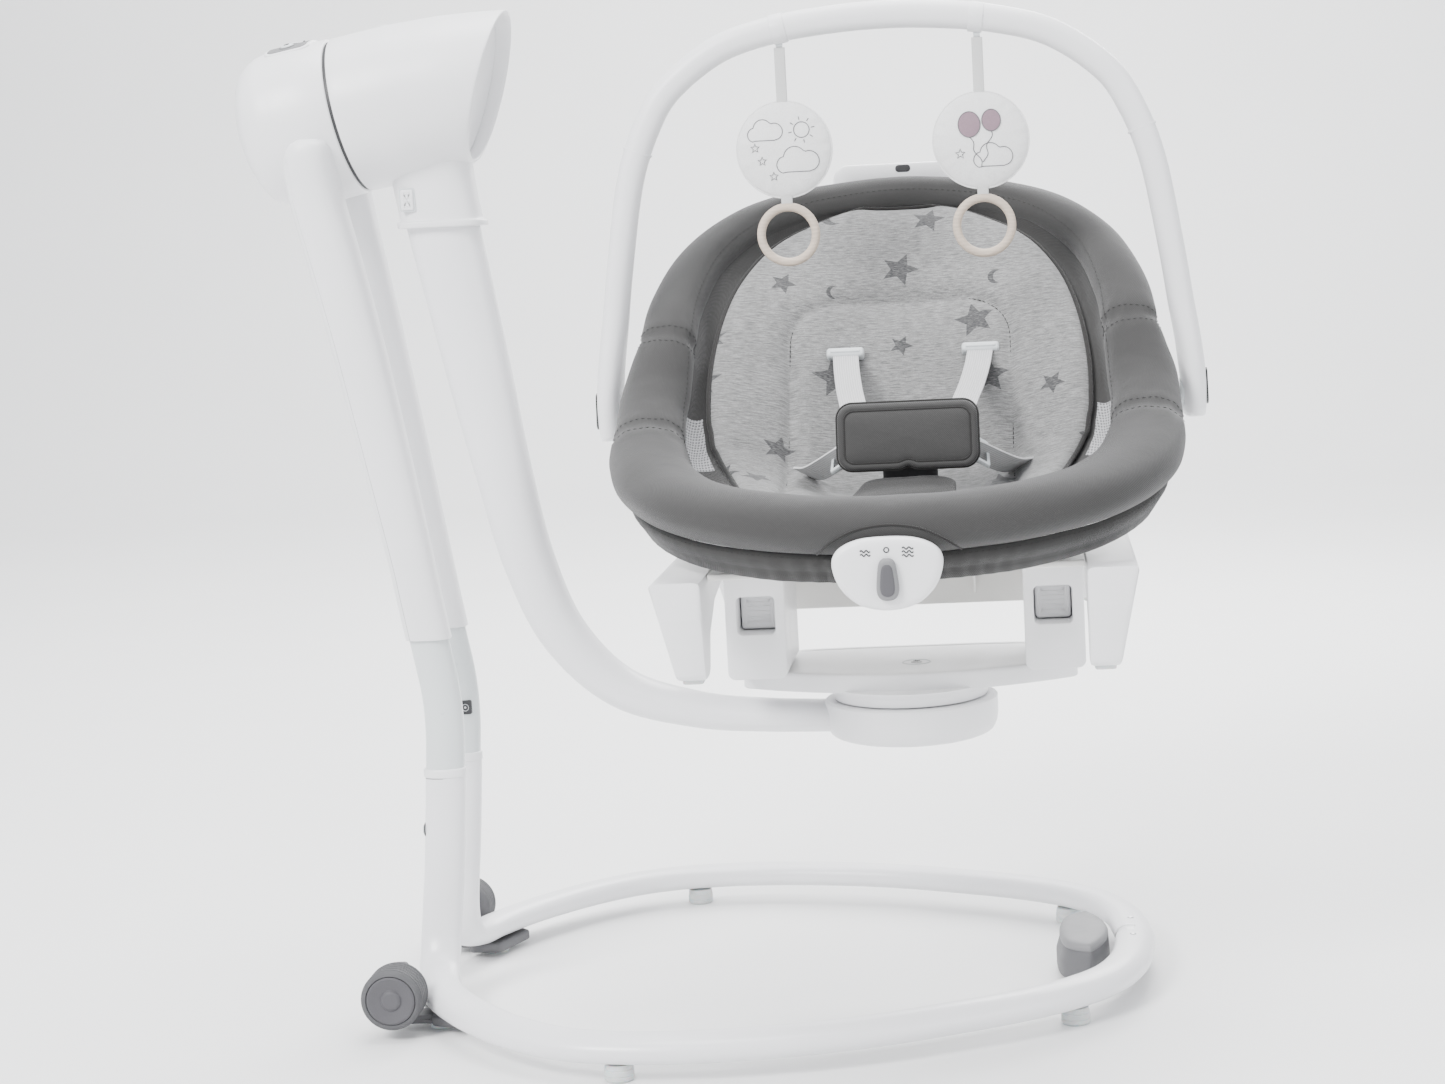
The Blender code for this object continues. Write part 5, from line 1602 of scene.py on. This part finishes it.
def panel_distance(x, s):
    """Distance in millimetres from the sewn panel outline."""
    top = LINE_TOTAL - PANEL_GAP
    dx, ds = abs(x) - (PANEL_HALF - PANEL_ROUND), s - (top - PANEL_ROUND)
    if dx > 0 and ds > 0:
        return abs(math.hypot(dx, ds) - PANEL_ROUND)
    if s > top - PANEL_ROUND:
        return abs(s - top) if dx <= 0 else abs(abs(x) - PANEL_HALF)
    return min(abs(abs(x) - PANEL_HALF), abs(s - top) if dx <= 0 else 1e9)


def insert_height(s, c):
    """Height of the padding's top over the bed."""
    w = line_at(s)[2]
    x = w * c
    edge = min(w * (1 - abs(c)), s, LINE_TOTAL - s + 2)
    body = (1 - math.exp(-max(edge, 0) / 9.0)) * 6.5
    sewn = panel_distance(x, s)
    groove = 4.6 * math.exp(-(sewn / 3.0) ** 2)
    puff = 2.0 * math.exp(-((sewn - 16) / 12.0) ** 2)
    folds = 1.3 * ripple((x * 0.018, s * 0.03, 0), 5.0) + 0.6 * ripple((x * 0.05, s * 0.06, 0), 8.0)
    return body - groove + puff * min(edge / 20, 1) + folds * min(edge / 14, 1)


def insert_piping(surface):
    """Cord round the insert's edge."""
    edge = [(i, 0) for i in range(ALONG + 1)]
    edge += [(ALONG, j) for j in range(1, ACROSS + 1)]
    edge += [(i, ACROSS) for i in range(ALONG - 1, -1, -1)]
    edge += [(0, j) for j in range(ACROSS - 1, 0, -1)]
    pipe = [surface[k] for k in edge]
    pipe = [p for k, p in enumerate(pipe) if k == 0 or (p - pipe[k - 1]).length > 0.0008]
    cord = rod("insert_piping", pipe, 2.3, PIPING, None, 10, closed=True, tilt=Z)
    hinged(cord)


def panel_stitches(pad):
    """Stitches sunk along the panel outline."""
    half, r = PANEL_HALF, PANEL_ROUND
    high = LINE_TOTAL - PANEL_GAP
    path = [(-half, 8 + k * (high - r - 8) / 60) for k in range(61)]
    path += [(-half + r - r * math.cos(a), high - r + r * math.sin(a))
             for a in (math.pi / 2 * k / 12 for k in range(1, 13))]
    path += [(-half + r + (2 * half - 2 * r) * k / 20, high) for k in range(1, 20)]
    path += [(half - r + r * math.sin(a), high - r + r * math.cos(a))
             for a in (math.pi / 2 * k / 12 for k in range(13))]
    path += [(half, high - r - k * (high - r - 8) / 60) for k in range(1, 61)]
    tree = BVHTree.FromObject(pad, bpy.context.evaluated_depsgraph_get())
    line = []
    for x, s in path:
        w = line_at(s)[2]
        if abs(x) > w - 8:
            continue
        high_up = bed(s, x / w, 24.0)
        aim = (bed(s, x / w, -10.0) - high_up).normalized()
        hit = tree.ray_cast(high_up, aim, 0.06)[0]
        if hit is not None:
            line.append(hit - aim * 0.0003)
    thread = threads("insert_stitches", dashes(line, 0.0044, 0.0009), THREAD_DARK, 0.62)
    hinged(thread)


def seat_insert():
    """Padded insert: a quilted top over a flatter underside, from the bed's front to its top."""
    even = [2 * k / ACROSS - 1 for k in range(ACROSS + 1)]
    shares = [math.sin(math.pi / 2 * c) * 0.35 + 0.65 * c for c in even]    # closer at the edges
    places = [LINE_TOTAL * k / ALONG for k in range(ALONG + 1)]
    verts, uvs, free = [], [], []
    top, low = {}, {}
    for i, s in enumerate(places):
        w = line_at(s)[2]
        for j, c in enumerate(shares):
            edge = i in (0, ALONG) or j in (0, ACROSS)
            top[i, j] = len(verts)
            verts.append(bed(s, c, INSERT_EDGE if edge else insert_height(s, c)))
            uvs.append((w * c * MM, s * MM))
            sewn = panel_distance(w * c, s)
            free.append(0.0 if edge else 1 - math.exp(-(sewn / 3.0) ** 2))
    for i, s in enumerate(places):
        w = line_at(s)[2]
        for j, c in enumerate(shares):
            if i in (0, ALONG) or j in (0, ACROSS):
                low[i, j] = top[i, j]
                continue
            depth = INSERT_T * (1 - math.exp(-min(w * (1 - abs(c)), s, LINE_TOTAL - s + 2) / 14))
            low[i, j] = len(verts)
            verts.append(bed(s, c, INSERT_EDGE - depth * 0.55))
            uvs.append((w * c * MM, s * MM))
            free.append(0.0)
    faces = []
    for i in range(ALONG):
        for j in range(ACROSS):
            faces.append((top[i, j], top[i, j + 1], top[i + 1, j + 1], top[i + 1, j]))
            faces.append((low[i, j], low[i + 1, j], low[i + 1, j + 1], low[i, j + 1]))
    pad = build("seat_insert", verts, faces, INSERT, None, 80, uvs)
    inflate(pad, free, 2.4, 3.5)
    surface = {key: pad.data.vertices[k].co.copy() for key, k in top.items()}
    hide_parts("seat_cushion", "back_cushion")
    insert_piping(surface)
    panel_stitches(pad)
    subdivide(pad)
    hinged(pad)


# ---------------------------------------------------------------- soft parts: sling
def insert_outline(rim_body):
    """For each ring of the rim, the nearest place of the insert's outline, evened out."""
    hem = []
    for row in rim_body:
        x = (row[0].x - seat(0, 0, 0).x) / MM
        best = None
        for s in np.linspace(0, LINE_TOTAL, 60):
            c = math.copysign(1, x)
            if s in (0.0, LINE_TOTAL):
                c = max(-1.0, min(1.0, x / max(line_at(s)[2], 1)))
            d = (bed(s, c, -8.0) - row[0]).length
            if best is None or d < best[0]:
                best = (d, s, c)
        hem.append(best[1:])
    hem = np.array(hem)
    for _ in range(14):
        hem = (np.roll(hem, 1, 0) + 2 * hem + np.roll(hem, -1, 0)) / 4
    return hem


def sling(rim_body):
    """The hammock the insert lies in: from the inner side of the rim to under the insert."""
    n = len(rim_body)
    mid = LINE_TOTAL * 0.46
    hem = insert_outline(rim_body)
    wall_rows, inner_rows = 8, 14
    deep = -16.5                                      # under the insert, below the bed
    grid = []
    for i in range(n):
        p, flat, thick, a, b = rim_body[i]
        start = p - flat * (a * 0.80) * MM - thick * (b * 0.30) * MM
        s, c = hem[i]
        s = min(max(s, 3.0), LINE_TOTAL - 3.0)
        c = min(max(c, -1.0), 1.0)
        edge = bed(s, c, -9.0)
        column = []
        for m in range(wall_rows):
            g = m / wall_rows
            q = start.lerp(edge, g)
            sag = math.sin(math.pi * g) * 5.0 * MM
            fold = ripple((i * 0.2, g * 2.0, 0), 3.0) * 1.2 * MM * math.sin(math.pi * g)
            column.append(q - thick * sag + flat * (sag * 0.4 + fold))
        for m in range(inner_rows):
            g = 1 - m / inner_rows
            column.append(bed(mid + (s - mid) * g, c * g, deep + 7.0 * g ** 6))
        grid.append(column)
    rows = wall_rows + inner_rows
    verts = [p for column in grid for p in column] + [bed(mid, 0.0, deep)]
    faces = []
    for i in range(n):
        j = (i + 1) % n
        for m in range(rows - 1):
            faces.append((i * rows + m, j * rows + m, j * rows + m + 1, i * rows + m + 1))
        faces.append((i * rows + rows - 1, j * rows + rows - 1, n * rows))
    uvs, run = [], 0.0
    for i, column in enumerate(grid):
        if i:
            run += (column[4] - grid[i - 1][4]).length
        fall = 0.0
        for m, p in enumerate(column):
            if m:
                fall += (p - column[m - 1]).length
            uvs.append((run, fall))
    uvs.append((0, 0))
    cloth = build("seat_sling", verts, faces, CHARCOAL_SLING, None, 80, uvs)
    cloth.data.materials.append(NET)
    for poly in cloth.data.polygons:                  # the netting beside the hips
        i, m = divmod(poly.index, rows)
        k = min(i, n - 1 - i)
        if 5.1 * RIM_STEPS <= k < 6.4 * RIM_STEPS and m < wall_rows - 1:
            poly.material_index = 1
    thicken(cloth, 1.4)
    hinged(cloth)


# ---------------------------------------------------------------- soft parts: harness
HX = 12.0                                          # the buckle hangs this far off the middle
WEB_WIDTH, WEB_THICK = 24, 1.9


def web_strap(name, rows):
    """Webbing through (x, y, z) rows."""
    pts = [seat(*p) for p in spline(rows, 6)]
    a, b = WEB_WIDTH / 2, WEB_THICK / 2
    section = [(a - 0.4, -b), (a, 0), (a - 0.4, b), (-a + 0.4, b), (-a, 0), (-a + 0.4, -b)]
    rings, uvs, run = [], [], 0.0
    for i, (p, w, v) in enumerate(frames(pts, X)):
        if i:
            run += (p - pts[i - 1]).length
        rings.append([p + (w * q[0] + v * q[1]) * MM for q in section])
        uvs += [(q[0] * MM, run) for q in section]
    return build(name, *skin(rings), WEB, None, 60, uvs)


def straps():
    for side, s in (("left", -1), ("right", 1)):
        rows = [(HX + s * 63, 87, 571), (HX + s * 60, 50, 557), (HX + s * 55, 0, 543),
                (HX + s * 50, -40, 533), (HX + s * 46, -74, 524)]
        strap = web_strap(f"shoulder_web_{side}", rows)
        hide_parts(f"shoulder_strap_{side}")
        seat(0, -60, 522)
        seat(0, 90, 572)
        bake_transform(strap)
        # moulded slot piece that the strap comes out of
        nrm = Vector((0, -0.82, 0.57))
        along = Vector((0, 0.57, 0.82))
        base = seat(HX + s * 63, 86, 571)
        place = lambda u, v, h: base + X * u * MM + along * v * MM + nrm * h * MM
        plaque(f"strap_guide_{side}", rounded(17.5, 4.8, 3.0), place,
               [(0.6, -5.0), (0, -4.0), (0, 2.0), (0.5, 3.6), (1.6, 4.6), (3.0, 4.9)],
               PALE, "back_rest")
        bar = [place(u, -0.4, 5.0) for u in (-13.5, 13.5)]
        rod(f"strap_guide_bar_{side}", bar, 1.3, PALE, "back_rest", 12, tilt=Z)

        rows = [(HX + s * 40, -74, 499), (HX + s * 58, -66, 490), (HX + s * 74, -50, 480),
                (HX + s * 88, -28, 472), (HX + s * 99, -6, 470)]
        waist = web_strap(f"waist_web_{side}", rows)
        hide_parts(f"waist_strap_{side}")
        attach(waist, "seat")
        end = seat(HX + s * 62, -64, 488)
        out = Vector((0.72 * s, 0.42, -0.5)).normalized()
        face = Vector((s * 0.25, -0.6, 0.8)).normalized()
        high = out.cross(face).normalized()
        place = lambda u, v, h: end + out * u * MM + high * v * MM + face * h * MM
        window_frame(f"waist_lock_{side}", rounded(9.5, 15.5, 3.0), rounded(5.8, 12.0, 1.5),
                     place, -1.0, 3.2, PALE, "seat", 0.8)


def buckle():
    """Shell, red button and tongue plates."""
    place = lambda u, v, h: seat(HX + u, -64 - h, 472 + v)
    shell = plaque("buckle_shell", rounded(24, 26, 8), place,
                   [(2.4, 0), (0.6, 0.7), (0, 2.6), (0, 9.6), (0.8, 12.2), (2.6, 13.7), (6, 14)],
                   DARK, "seat")
    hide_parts("buckle")
    press = plaque("buckle_press", rounded(8.4, 7.4, 2.4),
                   lambda u, v, h: seat(HX + u, -h, 486 + v),
                   [(0, 74), (0, 77.6), (0.5, 78.8), (1.4, 79.4), (3.2, 79.5)], RED,
                   "buckle_button")
    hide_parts("buckle_button")
    for s in (-1, 1):
        plaque(f"buckle_tongue_{'left' if s < 0 else 'right'}", rounded(12, 9, 3),
               lambda u, v, h: seat(HX + s * 33 + u, -66 - h, 495 + v),
               [(0.5, 0), (0, 0.6), (0, 4.6), (0.5, 5.4), (1.4, 5.6)], DARK, "seat")


def buckle_cover():
    """Padded cover over the buckle, piped round its edge and its groove."""
    lean = math.radians(16)
    place = lambda u, v, h: seat(HX + u, -92 - h + v * math.sin(lean), 508 + v * math.cos(lean))
    outline = dense(rounded(61, 29.5, 13), 3.0)
    outline = [(u, v + (3.0 * math.exp(-(u / 5.0) ** 2) if v < -20 else 0)) for u, v in outline]
    shape = [(2.6, -6.2), (0.5, -4.6), (0, -1.5), (0, 1.4), (0.9, 3.9), (3.2, 5.6), (5.4, 5.2),
             (6.4, 4.3), (7.4, 5.3), (10, 6.6), (15, 7.4), (21, 7.7), (25, 7.8)]
    cover = plaque("buckle_pad", outline, place, shape, CHARCOAL, None, 80)
    uv = cover.data.uv_layers.new(name="cloth")
    for loop in cover.data.loops:
        co = cover.data.vertices[loop.vertex_index].co
        uv.data[loop.index].uv = (co.x, co.z)
    loops = len(outline)
    held = (0, 1, 6, 7, 8)                            # loops of the outline: back edge and groove
    free = [float(v.index // loops not in held) for v in cover.data.vertices]
    inflate(cover, free, 2.0, 2.2)
    subdivide(cover)
    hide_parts("buckle_cover")
    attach(cover, "seat")
    pipe = [place(u, v, 4.6) for u, v in inset(outline, 6.4)]
    rod("buckle_pad_piping", pipe, 0.95, PIPING, "seat", 8, closed=True, tilt=Y)
    edge = [place(u, v, 0.0) for u, v in inset(outline, -0.2)]
    rod("buckle_pad_edge", edge, 1.3, PIPING, "seat", 8, closed=True, tilt=Y)


def crotch_pad():
    """Padded piece from the cushion up to the buckle."""
    levels = []
    for k in range(19):
        t = k / 18
        y = -136 + 47 * t
        z = 450 + 4 * t + 13 * t ** 2.2
        half = 52 - 12 * t ** 1.3
        ring = []
        for u, v in oval(half, 6.0 + 2.0 * math.sin(math.pi * t), 24, 2.6):
            ring.append(seat(HX * t + u, y, z + v + 1.2 * ripple((u * 0.05, t * 3, 0), 2.5)))
        levels.append(ring)
    wing = build("crotch_pad", *skin(levels), CHARCOAL, None, 80,
                 [(p.x, p.y + p.z) for ring in levels for p in ring])
    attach(wing, "seat")
    subdivide(wing)


# ---------------------------------------------------------------- seat tubes
TUBE_BACK = [(205, 50, 524), (207, 66, 547), (204, 94, 574), (196, 124, 602), (176, 164, 630),
             (142, 206, 656), (100, 232, 672), (52, 245, 680), (0, 249, 683)]


def back_sleeve(path):
    """Fabric sleeve round the back tube."""
    rings = []
    for k, (p, w, v) in enumerate(frames(path, Y)):
        r = 9.0 + 0.35 * math.sin(k * 1.9) + 0.5 * ripple((k * 0.3, 0, 0), 2.0)
        if k in (0, len(path) - 1):
            r = 7.7
        rings.append([p + (w * math.cos(q) + v * math.sin(q)) * r * MM for q in turns(24)])
    build("back_sleeve", *skin(rings), CHARCOAL_SLING, "back_rest", 80)


def seat_tubes():
    for name, half, body in (("seat_front_tube", TUBE_FRONT[::-1], "seat"),
                             ("back_tube", TUBE_BACK, "back_rest")):
        rows = half + [(-x, y, z) for x, y, z in reversed(half[:-1])]
        path = [seat(*p) for p in spline(rows, 8)]
        ends = [oval(k, k, 24) for k in (6.4, 7.2)]
        sections = ends + [oval(7.5, 7.5, 24)] * (len(path) - 4) + ends[::-1]
        tube = sweep(f"{name}_round", path, Y, sections, WHITE_TUBE, body)
        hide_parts(name)
    back_sleeve(path[14:-14])
    for side, s in (("left", -1), ("right", 1)):
        pivot = seat(0, PIVOT.y / MM, PIVOT.z / MM)
        boss = fillet([(198, 0), (198, 15), (214, 15), (214, 13), (236, 13), (236, 0)], 1.4, 4)
        lathe(f"pivot_boss_{side}", boss, pivot, X * s, PALE, "seat", 48)


def rim_arch():
    """Sewn arch on the rim above the vibration unit."""
    tree = BVHTree.FromObject(bpy.data.objects["rim_cover"],
                              bpy.context.evaluated_depsgraph_get())
    line = []
    for x, z in spline([(-62, 424), (-54, 432), (-42, 441), (-24, 449), (0, 452), (24, 449),
                        (42, 441), (54, 432), (62, 424)], 8):
        hit = tree.ray_cast(seat(x, -330, z), Y, 0.2)[0]
        if hit is not None:
            line.append(hit)
    rod("rim_arch_piping", line, 1.1, PIPING, "seat", 8, tilt=Y)


# ---------------------------------------------------------------- what is left of the CAD
def dress_nodes():
    steel = ("drive_motor", "swing_shaft", "vibration_motor")
    for name, ob in NODES.items():
        if not ob.hide_render:
            ob.data.materials.clear()
            ob.data.materials.append(STEEL if name in steel else WHITE)


# ---------------------------------------------------------------- build everything
floor_loop()
tip_block()
wheels()
wheel_housings()
uprights()
drum()
control_panel()
hub_shell()
arm_socket()
swing_arm()
turntable()
rockers()
chassis()
vibration_unit()
back_handle()
toy_bar()
toys()
rim_points, rim_rows = padded_rim()
rim_arch()
skirt(rim_points, rim_rows)
seat_tubes()
seat_insert()
sling(rim_rows)
straps()
buckle()
buckle_cover()
crotch_pad()
dress_nodes()


# ---------------------------------------------------------------- floor, light and camera
def studio():
    floor_look = Look("studio_floor", (0.83, 0.83, 0.825), 0.55, Specular_IOR_Level=0.25)
    grain = floor_look.noise(floor_look.place(), 3.0, 3.0)
    floor_look.paint(floor_look.mix(floor_look.span(grain, 0, 1), (0.822, 0.822, 0.818),
                                    (0.838, 0.838, 0.834)))
    path = [(-9.0, 0.0), (4.0, 0.0)]
    path += [(4.0 + 1.5 * math.sin(a), 1.5 - 1.5 * math.cos(a))
             for a in (math.pi / 2 * k / 16 for k in range(1, 17))]
    path += [(5.5, 5.5)]
    verts = [(x, y, z) for y, z in path for x in (-9.0, 9.0)]
    faces = [(2 * k, 2 * k + 1, 2 * k + 3, 2 * k + 2) for k in range(len(path) - 1)]
    floor = build("studio_sweep", verts, faces, floor_look.mat, None, 60)

    world = bpy.data.worlds.new("studio_world")
    bpy.context.scene.world = world
    world.use_nodes = True
    world.node_tree.nodes["Background"].inputs["Color"].default_value = (0.93, 0.95, 1.0, 1)
    world.node_tree.nodes["Background"].inputs["Strength"].default_value = 1.25

    for name, place, size, power in (
            ("key", (-1.7, -2.3, 2.6), 1.4, 185), ("fill", (2.4, -2.0, 1.5), 2.2, 35),
            ("top", (0.1, 0.3, 2.9), 2.0, 100), ("back", (0.6, 2.2, 1.9), 1.6, 60),
            ("wash", (0.0, 2.6, 3.6), 2.6, 260)):
        data = bpy.data.lights.new(name, "AREA")
        data.shape = "DISK"
        data.size = size
        data.energy = power
        lamp = bpy.data.objects.new(name, data)
        bpy.context.scene.collection.objects.link(lamp)
        lamp.location = place
        lamp.rotation_mode = "QUATERNION"
        aim = Vector((0, 5.0, 1.0) if name == "wash" else (0, 0, 0.4)) - Vector(place)
        lamp.rotation_quaternion = aim.to_track_quat("-Z", "Y")


def camera():
    azimuth, pitch, roll = (math.radians(a) for a in (3.547, 7.302, -2.748))
    data = bpy.data.cameras.new("camera")
    data.lens, data.sensor_width = 63.78, 36.0
    data.shift_x = -0.106
    data.clip_start, data.clip_end = 0.05, 30
    ob = bpy.data.objects.new("camera", data)
    bpy.context.scene.collection.objects.link(ob)
    ob.location = Vector((268.7 * MM + OFFSET, -2.2998, 0.6993))
    aim = Vector((-math.sin(azimuth) * math.cos(pitch), math.cos(azimuth) * math.cos(pitch),
                  -math.sin(pitch)))
    ob.rotation_mode = "QUATERNION"
    turn = aim.to_track_quat("-Z", "Y")
    ob.rotation_quaternion = turn @ Quaternion((0, 0, 1), roll)
    bpy.context.scene.camera = ob


studio()
camera()
